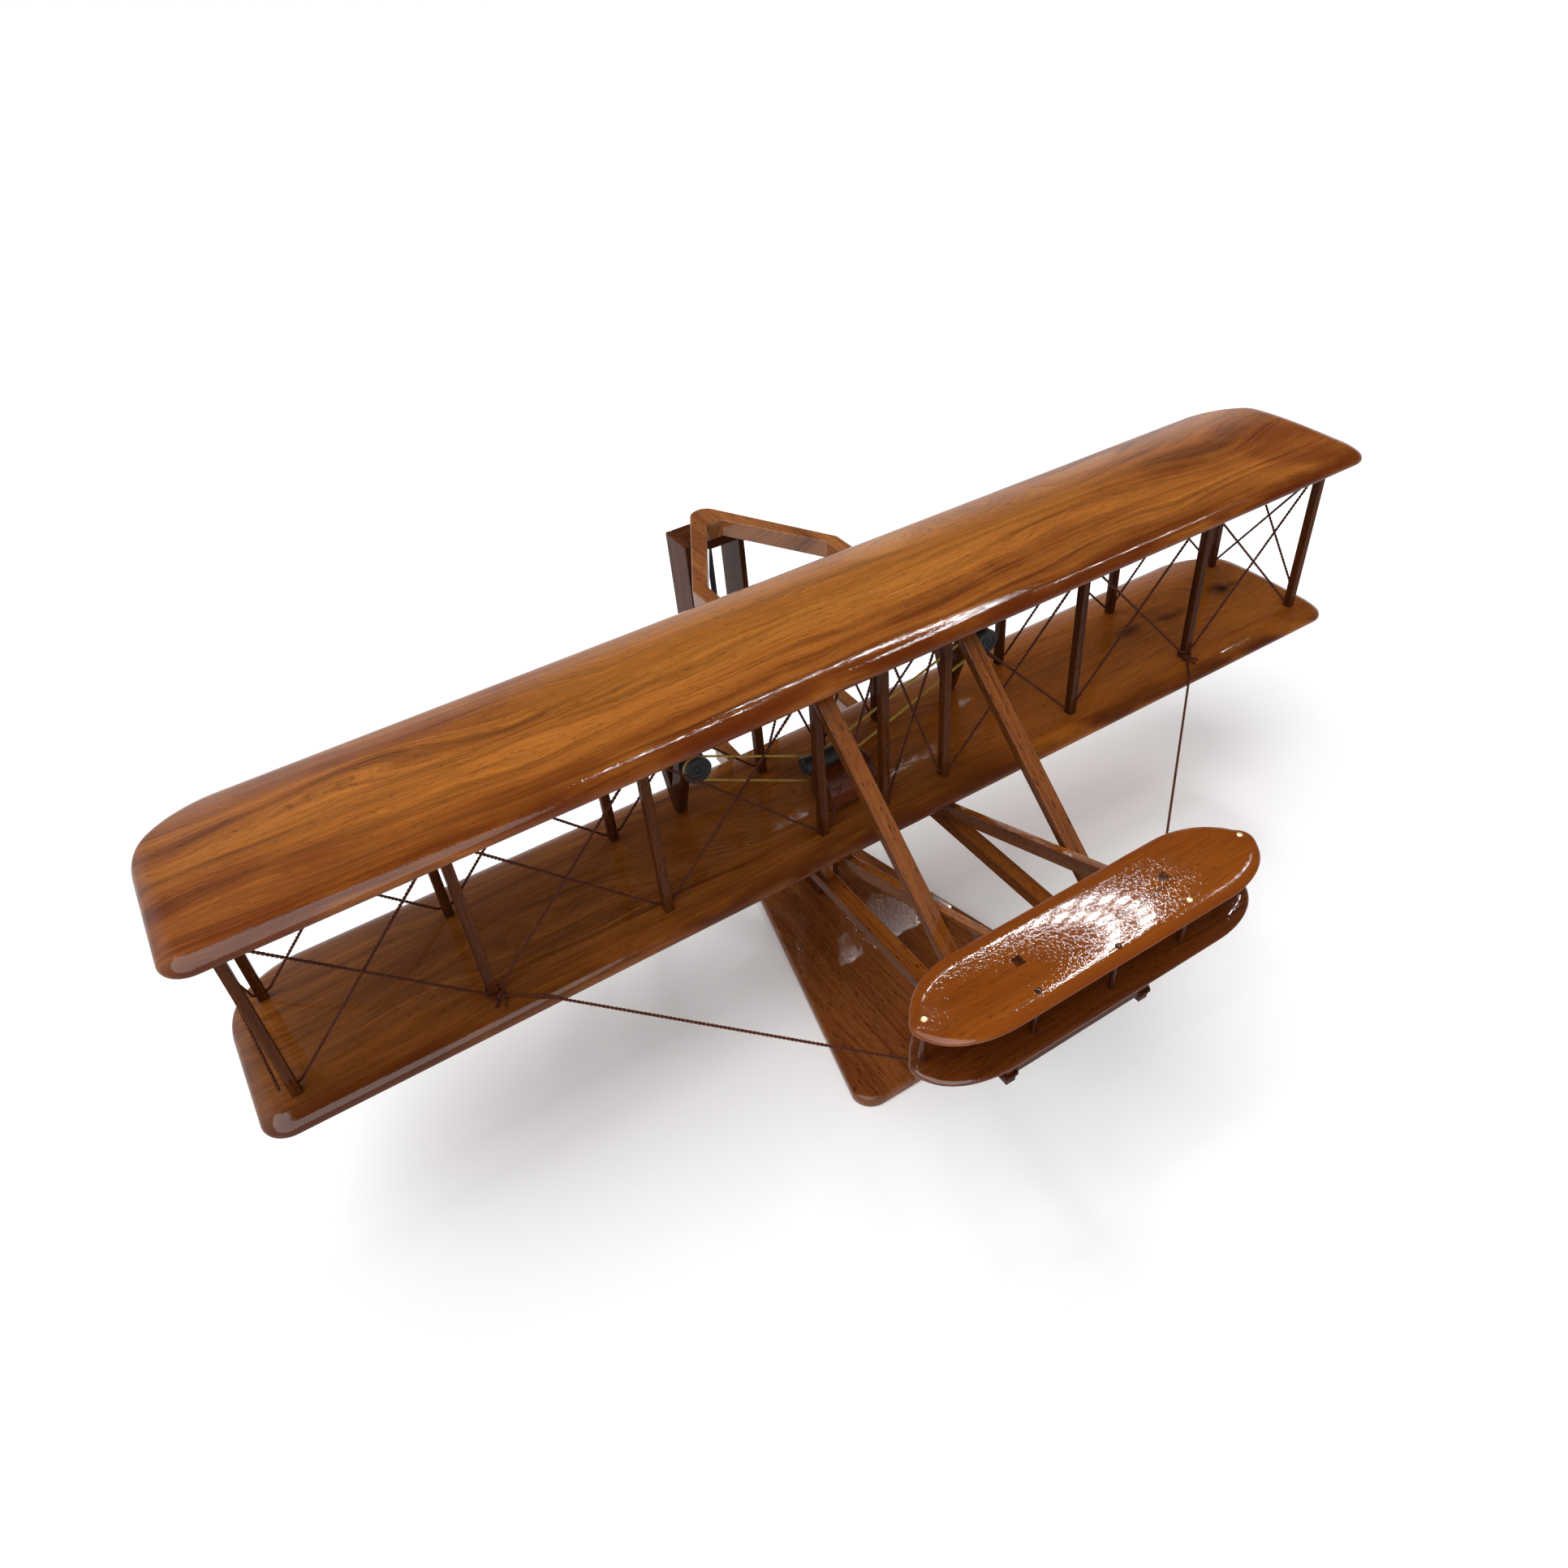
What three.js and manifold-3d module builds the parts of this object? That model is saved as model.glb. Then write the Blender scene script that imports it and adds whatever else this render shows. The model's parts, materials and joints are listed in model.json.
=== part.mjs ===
// Display model of an early canard biplane: two plank wings on 18 struts, a twin-plane elevator
// in front, a twin rudder behind, two chain-driven pusher propellers, on a stand and base board.
// Millimetres. +Z is up, -Y is the nose (elevator), +X is the port side, and the underside of
// the base board lies on Z = 0 with the plane's centre line at X = 0.
import * as THREE from "three";
import Module from "manifold-3d";

const wasm = await Module();
wasm.setup();

// Heights
const BASE_THICK = 5;
const BASE_LEAN = 1.6; // the board's upper edge is rounded off by this much
const WING_TOP = 97; // top face of the lower wing where the struts stand
const GAP = 75; // clear height between the wings
const BASE_TOP = BASE_THICK;

// Wings
const HALF_SPAN = 254;
const LEADING_Y = -37;
const TRAILING_Y = 43;
const NOSE_RADIUS = 2.6;
const CREST = 6.4; // greatest thickness of a wing, on the centre of its chord
const STRUT_THICK = 5.4; // wing thickness above the strut rows
const LOWER_UNDERSIDE = WING_TOP - STRUT_THICK;
const UPPER_UNDERSIDE = WING_TOP + GAP;
const FRONT_CORNER = 9;
const REAR_CORNER = 30;

// Struts
const STRUT = 3.6;
const ROW_Y = 24; // both strut rows stand this far from the middle of the chord
const STATIONS = [-240, -170, -100, -30, 0, 30, 100, 170, 240];
const SOCKET_DEPTH = 1.2;
const SOCKET_FIT = 0.1;
const LACE_HOLE = 0.85;
const LACE_HEIGHT = 3.2; // the lace holes are this far from each wing

// Cords
const CORD = 0.55;
const LACE_SHIFT = 0.75; // each lace runs this far from the strut's centre plane
const LACE_REACH = 2.7; // a lace leaves its strut before it turns

// Bars that carry the elevator
const BAR_X = 31.5;
const BAR_SHIFT = 1.8; // bars and posts all sit this far to port of the centre line
const BAR_WIDTH = 7;
const barX = (side) => side * BAR_X + BAR_SHIFT;
const SKID_TOP = WING_TOP - 24.2;
const SKID_DEEP = 5.6;
const SKID_REAR = 30;
const UPRIGHT = 4;
const BOOM_X = [-29.8, 34.9];
const BOOM_SLOPE = 0.908; // rise over run of the upper boom
const BOOM_RUN = 5.7; // its thickness measured along Y
const BOOM_TOP_Y = -ROW_Y - STRUT / 2 - 0.3;
const BOOM_TOP_Z = UPPER_UNDERSIDE - 0.9;
const MIDDLE_WIDE = 3.8;
const MIDDLE_DEEP = 6.7;
const MIDDLE_LEAD_Z = WING_TOP - 8;

// Elevator
const POST = 4.2;
const POST_X = [-BAR_X + BAR_SHIFT, BAR_X + BAR_SHIFT];
const POST_Y = -137;
const POST_FIT = 0.15;
const POST_FOOT = WING_TOP - 32.8;
const PLANE_THICK = 2.4;
const UPPER_PLANE = WING_TOP + 27.9;
const LOWER_PLANE = WING_TOP + 7.4;
const PLANE_FRONT = -155.8;
const PLANE_REAR = -121.5;
const PLANE_TIP = 74;
const ROD = 1.1;
const ROD_HOLE = 1.35;
const ROD_PROUD = 0.15;
const RODS = [
  [-67.5, -138],
  [-32.5, -149.5],
  [0, -150.5],
  [32.5, -149.5],
  [69, -138],
];
const ROD_NAMES = ["starboard_tip", "starboard_front", "centre_front", "port_front", "port_tip"];
const CROSSBAR = 4;
const CROSSBAR_Z = WING_TOP - 28.8;

// Tail
const FRAME_DEEP = 8;
const FRAME_FRONT = 27;
const FRAME_SHOULDER = 57;
const FRAME_HALF = 35;
const FRAME_BAR = 6.5;
const PIVOT_Y = 110;
const APEX_ROUND = 6.5;
const PIVOT_HOLE = 1.7;
const PIN = 1.3;
const BLADE_IN = 12;
const BLADE_OUT = 14.8;
const RUDDER_FRONT = 103;
const RUDDER_REAR = 122;
const RUDDER_GAP = 0.4;
const PLATE = 5;

// Drive
const SHAFT_X = 69.7;
const SHAFT_Z = WING_TOP + 37.5;
const SHAFT = 1;
const SHAFT_BORE = 1.35;
const DRUM = 5.6;
const DRUM_GROOVE = 4.4;
const DRUM_BELT = 5.1; // radius of the chain's own centre line on a drum
const CRANK_X = -14;
const CRANK_Z = WING_TOP + 9;
const CRANK_FLANGE = 6.6;
const CRANK_GROOVE = 5.3;
const CRANK_BELT = 6;
const CHAIN_WIDE = 1.2;
const CHAIN_THICK = 0.8;
const BRACKET_Y = 23.2;
const BRACKET_THICK = 4.4;
const BRACKET_TOP = SHAFT_Z + 4.5;
const PROP_Y = 52;
const PROP_RADIUS = 42;
const PROP_PITCH = THREE.MathUtils.degToRad(24);
const HUB = 3.4;
const HUB_LONG = 6;

const material = (color, roughness, metalness = 0) =>
  new THREE.MeshStandardMaterial({ color, roughness, metalness });
const WOOD = {
  wing: material(0x8a4a1c, 0.25),
  strut: material(0x4a2412, 0.3),
  bar: material(0x7a3c16, 0.3),
  base: material(0x6a3418, 0.22),
  dark: material(0x3a190c, 0.3),
  propeller: material(0x8c5020, 0.25),
};
const THREAD = material(0x4a2416, 0.8);
const CHAIN_YELLOW = material(0xa08018, 0.5);
const BLACK = material(0x121010, 0.5);
const BRASS = material(0xc8a860, 0.3, 1);

const model = new THREE.Group();

// Puts a geometry or a manifold-3d solid into the model as one named mesh.
function add(name, shape, look) {
  const geometry = shape.isBufferGeometry ? shape : geometryOf(shape);
  const mesh = new THREE.Mesh(geometry, look);
  mesh.name = name;
  model.add(mesh);
  return mesh;
}

function geometryOf(solid) {
  const { numProp, vertProperties, triVerts, numVert } = solid.getMesh();
  const position = new Float32Array(numVert * 3);
  for (let i = 0; i < numVert; i++)
    position.set(vertProperties.subarray(i * numProp, i * numProp + 3), i * 3);
  return new THREE.BufferGeometry()
    .setAttribute("position", new THREE.BufferAttribute(position, 3))
    .setIndex(new THREE.BufferAttribute(new Uint32Array(triVerts), 1));
}

function solidOf(geometry) {
  const welded = weld(geometry);
  return new wasm.Manifold(
    new wasm.Mesh({
      numProp: 3,
      vertProperties: welded.position,
      triVerts: welded.index,
    }),
  );
}

// Joins the equal corners of a geometry's faces, as a closed solid needs.
function weld(geometry) {
  const source = geometry.index ? geometry.toNonIndexed() : geometry;
  const { array } = source.attributes.position;
  const seen = new Map();
  const corners = [];
  const index = [];
  for (let i = 0; i < array.length; i += 3) {
    const point = [array[i], array[i + 1], array[i + 2]];
    const key = point.map((v) => Math.round(v * 1e4)).join();
    if (!seen.has(key)) {
      seen.set(key, corners.length / 3);
      corners.push(...point);
    }
    index.push(seen.get(key));
  }
  const whole = [];
  for (let i = 0; i < index.length; i += 3) {
    const [a, b, c] = index.slice(i, i + 3);
    if (a !== b && b !== c && a !== c) whole.push(a, b, c);
  }
  return { position: new Float32Array(corners), index: new Uint32Array(whole) };
}

function shapeOf(points) {
  return new THREE.Shape(points.map(([u, v]) => new THREE.Vector2(u, v)));
}

// A plan outline in X and Y, raised from z0 to z1.
function raise(shape, z0, z1, curveSegments = 6) {
  return new THREE.ExtrudeGeometry(shape, {
    depth: z1 - z0,
    bevelEnabled: false,
    curveSegments,
  }).translate(0, 0, z0);
}

// A side outline in Y and Z, stretched from x0 to x1.
function stretch(shape, x0, x1, curveSegments = 6) {
  const turn = new THREE.Matrix4().makeBasis(
    new THREE.Vector3(0, 1, 0),
    new THREE.Vector3(0, 0, 1),
    new THREE.Vector3(1, 0, 0),
  );
  return new THREE.ExtrudeGeometry(shape, {
    depth: x1 - x0,
    bevelEnabled: false,
    curveSegments,
  })
    .applyMatrix4(turn)
    .translate(x0, 0, 0);
}

function box(x0, x1, y0, y1, z0, z1) {
  return new THREE.BoxGeometry(x1 - x0, y1 - y0, z1 - z0).translate(
    (x0 + x1) / 2,
    (y0 + y1) / 2,
    (z0 + z1) / 2,
  );
}

// A cylinder from one end to the other along the named axis.
function bar(radius, axis, from, to, centre, sides = 12) {
  const cylinder = new THREE.CylinderGeometry(radius, radius, to - from, sides);
  if (axis === "x") cylinder.rotateZ(-Math.PI / 2);
  if (axis === "z") cylinder.rotateX(Math.PI / 2);
  const place = new THREE.Vector3(...centre);
  place[axis] = (from + to) / 2;
  return cylinder.translate(place.x, place.y, place.z);
}

function circle(x, y, radius) {
  return new THREE.Path().absarc(x, y, radius, 0, 2 * Math.PI, true);
}

// A profile of [radius, y] pairs, closed on the axis, turned about the Y axis.
function turned(profile, sides = 20) {
  const points = profile.map(([r, y]) => new THREE.Vector2(r, y));
  return new THREE.LatheGeometry(points, sides);
}

// A route of straight stretches: each corner keeps the mean direction of its two stretches.
class Polyline extends THREE.Curve {
  constructor(points) {
    super();
    this.points = points.map((p) => new THREE.Vector3(...p));
  }

  corner(t) {
    return Math.round(t * (this.points.length - 1));
  }

  getPoint(t, target = new THREE.Vector3()) {
    return target.copy(this.points[this.corner(t)]);
  }

  getPointAt(t, target) {
    return this.getPoint(t, target);
  }

  getTangentAt(t, target = new THREE.Vector3()) {
    const i = this.corner(t);
    const before = this.points[Math.max(i - 1, 0)];
    const here = this.points[i];
    const after = this.points[Math.min(i + 1, this.points.length - 1)];
    const incoming = here.clone().sub(before).normalize();
    const outgoing = after.clone().sub(here).normalize();
    return target.copy(incoming).add(outgoing).normalize();
  }

  getTangent(t, target) {
    return this.getTangentAt(t, target);
  }
}

function cord(points, radius = CORD, sides = 8) {
  const section = new THREE.Shape();
  for (let i = 0; i < sides; i++) {
    const angle = (2 * Math.PI * i) / sides;
    const step = i ? "lineTo" : "moveTo";
    section[step](radius * Math.cos(angle), radius * Math.sin(angle));
  }
  return new THREE.ExtrudeGeometry(section, {
    steps: points.length - 1,
    extrudePath: new Polyline(points),
  });
}

// Base board: wider at the front, with a rounded upper edge.
function baseBoard() {
  const front = -84;
  const rear = 72;
  const taper = 0.205;
  const half = (y) => 37.3 - taper * y;
  const outline = (spread, corner) => {
    const shape = new THREE.Shape();
    const f = front - spread;
    const r = rear + spread;
    const wide = half(front) + spread;
    const narrow = half(rear) + spread;
    shape.moveTo(-wide + corner, f);
    shape.lineTo(wide - corner, f);
    shape.quadraticCurveTo(wide, f, wide - taper * corner, f + corner);
    shape.lineTo(narrow + taper * corner, r - corner);
    shape.quadraticCurveTo(narrow, r, narrow - corner, r);
    shape.lineTo(-narrow + corner, r);
    shape.quadraticCurveTo(-narrow, r, -narrow - taper * corner, r - corner);
    shape.lineTo(-wide + taper * corner, f + corner);
    shape.quadraticCurveTo(-wide, f, -wide + corner, f);
    return shape;
  };
  const lower = solidOf(raise(outline(BASE_LEAN, 9), 0, BASE_THICK - BASE_LEAN));
  const steps = [1, 2, 3, 4].map((k) => {
    const lean = BASE_LEAN * Math.sqrt(1 - (k / 4) ** 2);
    const z = BASE_THICK - BASE_LEAN * (1 - k / 4);
    return solidOf(raise(outline(lean, 9), z - 1, z));
  });
  add("base_board", steps.reduce((sum, part) => sum.add(part), lower), WOOD.base);
}

function stand() {
  const outline = new THREE.Shape();
  outline.moveTo(-4.5, 24);
  outline.lineTo(4.5, 24);
  outline.quadraticCurveTo(6, 24, 6, 25.5);
  outline.lineTo(6, 38.5);
  outline.quadraticCurveTo(6, 40, 4.5, 40);
  outline.lineTo(-4.5, 40);
  outline.quadraticCurveTo(-6, 40, -6, 38.5);
  outline.lineTo(-6, 25.5);
  outline.quadraticCurveTo(-6, 24, -4.5, 24);
  add("display_stand", raise(outline, BASE_TOP, LOWER_UNDERSIDE, 4), WOOD.dark);
}

// Wing section: flat underside, round nose, low crest on mid chord and a thin rear edge.
function wingSection() {
  const noseY = LEADING_Y + NOSE_RADIUS;
  const shape = new THREE.Shape();
  shape.moveTo(TRAILING_Y - 0.8, 0);
  shape.lineTo(noseY, 0);
  shape.absarc(noseY, NOSE_RADIUS, NOSE_RADIUS, -Math.PI / 2, Math.PI / 2, true);
  shape.splineThru(
    [
      [-ROW_Y, STRUT_THICK],
      [-12, CREST - 0.25],
      [0, CREST],
      [12, CREST - 0.25],
      [ROW_Y, STRUT_THICK],
      [TRAILING_Y - 0.9, 2.2],
    ].map(([y, z]) => new THREE.Vector2(y, z)),
  );
  shape.lineTo(TRAILING_Y, 1.6);
  shape.lineTo(TRAILING_Y, 0.8);
  return shape;
}

function wingPlan() {
  const shape = new THREE.Shape();
  const f = FRONT_CORNER;
  const r = REAR_CORNER;
  shape.moveTo(HALF_SPAN - f, LEADING_Y);
  shape.absarc(HALF_SPAN - f, LEADING_Y + f, f, -Math.PI / 2, 0, false);
  shape.absarc(HALF_SPAN - r, TRAILING_Y - r, r, 0, Math.PI / 2, false);
  shape.absarc(-HALF_SPAN + r, TRAILING_Y - r, r, Math.PI / 2, Math.PI, false);
  shape.absarc(-HALF_SPAN + f, LEADING_Y + f, f, Math.PI, 1.5 * Math.PI, false);
  return shape;
}

// A plank wing. Its strut sockets open on the face that looks at the other wing.
function wing(name, underside, socketBottom) {
  const plank = solidOf(stretch(wingSection(), -HALF_SPAN - 1, HALF_SPAN + 1, 5));
  const plan = solidOf(raise(wingPlan(), -1, CREST + 1, 6));
  const half = STRUT / 2 + SOCKET_FIT;
  let solid = plank.intersect(plan).translate([0, 0, underside]);
  for (const x of STATIONS)
    for (const y of [-ROW_Y, ROW_Y]) {
      const socket = box(
        x - half,
        x + half,
        y - half,
        y + half,
        socketBottom,
        socketBottom + 2 * SOCKET_DEPTH,
      );
      solid = solid.subtract(solidOf(socket));
    }
  add(name, solid, WOOD.wing);
}

function wings() {
  wing("lower_wing", LOWER_UNDERSIDE, WING_TOP - SOCKET_DEPTH);
  wing("upper_wing", UPPER_UNDERSIDE, UPPER_UNDERSIDE - SOCKET_DEPTH);
}

// Lace 1 runs before the strut's centre plane and lace 2 behind it. At each strut one lace
// passes the upper hole and the other the lower hole, turn about.
const laceY = (row, lace) => row * ROW_Y + (lace === 1 ? -LACE_SHIFT : LACE_SHIFT);
const laceIsHigh = (row, i, lace) => (i + lace + (row > 0 ? 1 : 0)) % 2 === 1;
const laceZ = (high) => (high ? UPPER_UNDERSIDE - LACE_HEIGHT : WING_TOP + LACE_HEIGHT);

function struts() {
  for (const row of [-1, 1])
    STATIONS.forEach((x, i) => {
      const y = row * ROW_Y;
      const half = STRUT / 2;
      let solid = solidOf(
        box(
          x - half,
          x + half,
          y - half,
          y + half,
          WING_TOP - SOCKET_DEPTH,
          UPPER_UNDERSIDE + SOCKET_DEPTH,
        ),
      );
      for (const lace of [1, 2]) {
        const centre = [x, laceY(row, lace), laceZ(laceIsHigh(row, i, lace))];
        const hole = bar(LACE_HOLE, "x", x - STRUT, x + STRUT, centre, 8);
        solid = solid.subtract(solidOf(hole));
      }
      const label = row < 0 ? "front" : "rear";
      add(`${label}_strut_${i + 1}`, solid, WOOD.strut);
    });
}

// A lace zigzags along the front struts to port, round the port tip and back along the rear
// struts, and its tail comes round the starboard tip to where it began.
function laces() {
  for (const lace of [1, 2]) {
    const points = [];
    const outside = STATIONS[8] + LACE_REACH + (lace === 1 ? 0 : 1.6);
    const last = STATIONS.length - 1;
    const pass = (row, i, way) => {
      const y = laceY(row, lace);
      const z = laceZ(laceIsHigh(row, i, lace));
      const near = STATIONS[i] - way * LACE_REACH;
      const far = STATIONS[i] + way * LACE_REACH;
      points.push([near, y, z], [far, y, z]);
    };
    STATIONS.forEach((x, i) => pass(-1, i, 1));
    points[0][0] = STATIONS[0] - STRUT / 2 + 0.3;
    points[points.length - 1][0] = outside;
    STATIONS.forEach((x, i) => pass(1, last - i, -1));
    points[2 * STATIONS.length][0] = outside;
    points[points.length - 1][0] = -outside;
    const z = laceZ(laceIsHigh(-1, 0, lace));
    points.push([-outside, laceY(-1, lace), z]);
    add(`rigging_lace_${lace}`, cord(points), THREAD);
  }
}

// Each stay is tied at a front strut's foot, bends over the leading edge and ends on the post.
function stays() {
  for (const [side, name, edgeX] of [
    [-1, "starboard", -153],
    [1, "port", 161],
  ]) {
    const route = [
      [side * 168, -ROW_Y - STRUT / 2 - 1, WING_TOP + 1.4],
      [edgeX, LEADING_Y + 2, WING_TOP + 0.5],
      [barX(side) + side * (POST / 2 + 0.9), POST_Y, WING_TOP - 29],
    ];
    add(`${name}_forward_stay`, cord(route), THREAD);
  }
}

function skid(side) {
  const x = barX(side);
  const rail = box(
    x - BAR_WIDTH / 2,
    x + BAR_WIDTH / 2,
    POST_Y + POST / 2,
    SKID_REAR,
    SKID_TOP - SKID_DEEP,
    SKID_TOP,
  );
  let solid = solidOf(rail);
  for (const y of [-ROW_Y, ROW_Y]) {
    const upright = box(
      x - UPRIGHT / 2,
      x + UPRIGHT / 2,
      y - UPRIGHT / 2,
      y + UPRIGHT / 2,
      SKID_TOP - 1,
      LOWER_UNDERSIDE,
    );
    solid = solid.add(solidOf(upright));
  }
  return solid;
}

function upperBoom(x) {
  const frontY = (z) => BOOM_TOP_Y + (z - BOOM_TOP_Z) / BOOM_SLOPE;
  const outline = shapeOf([
    [BOOM_TOP_Y, BOOM_TOP_Z],
    [frontY(SKID_TOP), SKID_TOP],
    [frontY(SKID_TOP) + BOOM_RUN, SKID_TOP],
    [BOOM_TOP_Y, BOOM_TOP_Z - BOOM_RUN * BOOM_SLOPE],
  ]);
  return stretch(outline, x - BAR_WIDTH / 2, x + BAR_WIDTH / 2);
}

function middleBoom(side) {
  const front = POST_Y + 3;
  const slope = (UPPER_PLANE - MIDDLE_LEAD_Z) / (LEADING_Y - front);
  const top = (y) => MIDDLE_LEAD_Z + slope * (LEADING_Y - y);
  const outline = shapeOf([
    [front, top(front)],
    [front, top(front) - MIDDLE_DEEP],
    [0, top(0) - MIDDLE_DEEP],
    [0, top(0)],
  ]);
  const centre = barX(side) - side * (BAR_WIDTH + MIDDLE_WIDE) / 2;
  return stretch(outline, centre - MIDDLE_WIDE / 2, centre + MIDDLE_WIDE / 2);
}

function outriggers() {
  for (const [side, name] of [
    [-1, "starboard"],
    [1, "port"],
  ]) {
    add(`${name}_skid`, skid(side), WOOD.bar);
    add(`${name}_upper_boom`, upperBoom(side < 0 ? BOOM_X[0] : BOOM_X[1]), WOOD.bar);
    add(`${name}_middle_boom`, middleBoom(side), WOOD.bar);
    const x = barX(side);
    const half = POST / 2;
    const post = box(
      x - half,
      x + half,
      POST_Y - half,
      POST_Y + half,
      POST_FOOT,
      UPPER_PLANE + PLANE_THICK,
    );
    add(`${name}_elevator_post`, post, WOOD.dark);
  }
  const crossbar = box(
    POST_X[0] + POST / 2,
    POST_X[1] - POST / 2,
    POST_Y - CROSSBAR / 2,
    POST_Y + CROSSBAR / 2,
    CROSSBAR_Z,
    CROSSBAR_Z + CROSSBAR,
  );
  add("elevator_crossbar", crossbar, WOOD.dark);
}

function elevatorOutline() {
  const shape = new THREE.Shape();
  const half = 44;
  shape.moveTo(-half, PLANE_FRONT);
  shape.lineTo(half, PLANE_FRONT);
  shape.bezierCurveTo(60, PLANE_FRONT, 70, -149, 72.4, -143.5);
  shape.quadraticCurveTo(PLANE_TIP, -138.5, 71, -134.4);
  shape.bezierCurveTo(67, -128, 58, PLANE_REAR, half, PLANE_REAR);
  shape.lineTo(-half, PLANE_REAR);
  shape.bezierCurveTo(-58, PLANE_REAR, -67, -128, -71.6, -134.4);
  shape.quadraticCurveTo(-PLANE_TIP - 1.3, -138.5, -73.4, -143.5);
  shape.bezierCurveTo(-71, -149, -60, PLANE_FRONT, -half, PLANE_FRONT);
  return shape;
}

function elevator() {
  for (const [name, z] of [
    ["elevator_upper_plane", UPPER_PLANE],
    ["elevator_lower_plane", LOWER_PLANE],
  ]) {
    let plane = solidOf(raise(elevatorOutline(), z, z + PLANE_THICK, 5));
    const half = POST / 2 + POST_FIT;
    for (const x of POST_X) {
      const hole = box(x - half, x + half, POST_Y - half, POST_Y + half, z - 1, z + 4);
      plane = plane.subtract(solidOf(hole));
    }
    if (z === UPPER_PLANE)
      for (const [x, y] of RODS)
        plane = plane.subtract(solidOf(bar(ROD_HOLE, "z", z - 1, z + 4, [x, y, 0], 10)));
    add(name, plane, WOOD.bar);
  }
  RODS.forEach(([x, y], i) => {
    const foot = LOWER_PLANE + PLANE_THICK;
    const head = UPPER_PLANE + PLANE_THICK + ROD_PROUD;
    add(`elevator_rod_${ROD_NAMES[i]}`, bar(ROD, "z", foot, head, [x, y, 0], 10), BRASS);
  });
}

// Flat wooden frame: two bars under the wing, then two arms that meet at the rudder's pivot.
function tailFrame(name, top) {
  const run = PIVOT_Y - FRAME_SHOULDER;
  const lean = Math.atan2(run, FRAME_HALF - APEX_ROUND);
  const inner = FRAME_HALF - FRAME_BAR;
  const outline = new THREE.Shape();
  outline.moveTo(inner, FRAME_FRONT);
  outline.lineTo(FRAME_HALF, FRAME_FRONT);
  outline.lineTo(FRAME_HALF, FRAME_SHOULDER);
  outline.absarc(0, PIVOT_Y, APEX_ROUND, Math.PI / 2 - lean, Math.PI / 2 + lean, false);
  outline.lineTo(-FRAME_HALF, FRAME_SHOULDER);
  outline.lineTo(-FRAME_HALF, FRAME_FRONT);
  outline.lineTo(-inner, FRAME_FRONT);
  outline.lineTo(-inner, FRAME_SHOULDER - 1);
  outline.lineTo(-3.6, 101.2);
  outline.lineTo(3.6, 101.2);
  outline.lineTo(inner, FRAME_SHOULDER - 1);
  outline.holes.push(circle(0, PIVOT_Y, PIVOT_HOLE));
  add(name, raise(outline, top - FRAME_DEEP, top), WOOD.bar);
}

function rudder() {
  const foot = LOWER_UNDERSIDE + RUDDER_GAP;
  const head = UPPER_UNDERSIDE - FRAME_DEEP - RUDDER_GAP;
  for (const [name, x] of [
    ["starboard_rudder_blade", -BLADE_OUT],
    ["port_rudder_blade", BLADE_IN],
  ]) {
    const blade = box(x, x + BLADE_OUT - BLADE_IN, RUDDER_FRONT, RUDDER_REAR, foot, head);
    add(name, blade, WOOD.dark);
  }
  for (const [name, z] of [
    ["rudder_top_plate", head - PLATE],
    ["rudder_bottom_plate", foot],
  ]) {
    const plate = shapeOf([
      [-BLADE_IN, RUDDER_FRONT],
      [BLADE_IN, RUDDER_FRONT],
      [BLADE_IN, RUDDER_REAR],
      [-BLADE_IN, RUDDER_REAR],
    ]);
    plate.holes.push(circle(0, PIVOT_Y, PIVOT_HOLE));
    add(name, raise(plate, z, z + PLATE), WOOD.dark);
  }
  const pinFoot = LOWER_UNDERSIDE - FRAME_DEEP + 1;
  const pinHead = UPPER_UNDERSIDE - 1;
  const pin = bar(PIN, "z", pinFoot, pinHead, [0, PIVOT_Y, 0], 12);
  add("rudder_pin", pin, BLACK);
}

// V-shaped bracket with a bore in each arm for the propeller shaft.
function shaftBracket(side) {
  const foot = WING_TOP + 0.45;
  const notch = WING_TOP + 13;
  const spread = 17.5;
  const footHalf = 2.4;
  const outline = shapeOf([
    [BRACKET_Y - footHalf, foot],
    [BRACKET_Y + footHalf, foot],
    [BRACKET_Y + spread, BRACKET_TOP],
    [BRACKET_Y + spread - 7, BRACKET_TOP],
    [BRACKET_Y, notch],
    [BRACKET_Y - spread + 7, BRACKET_TOP],
    [BRACKET_Y - spread, BRACKET_TOP],
  ]);
  const x = side * SHAFT_X;
  const blank = solidOf(stretch(outline, x - BRACKET_THICK / 2, x + BRACKET_THICK / 2));
  const bore = bar(SHAFT_BORE, "y", -10, 60, [x, 0, SHAFT_Z], 12);
  return blank.subtract(solidOf(bore));
}

// Chain drum turned in one piece with its shaft.
function drum(side) {
  const profile = [
    [0, -2],
    [DRUM, -2],
    [DRUM, -0.4],
    [DRUM_GROOVE, -0.4],
    [DRUM_GROOVE, 4],
    [DRUM, 4],
    [DRUM, 4.8],
    [SHAFT, 4.8],
    [SHAFT, PROP_Y + HUB_LONG / 2],
    [0, PROP_Y + HUB_LONG / 2],
  ];
  return turned(profile, 16).translate(side * SHAFT_X, 0, SHAFT_Z);
}

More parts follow.
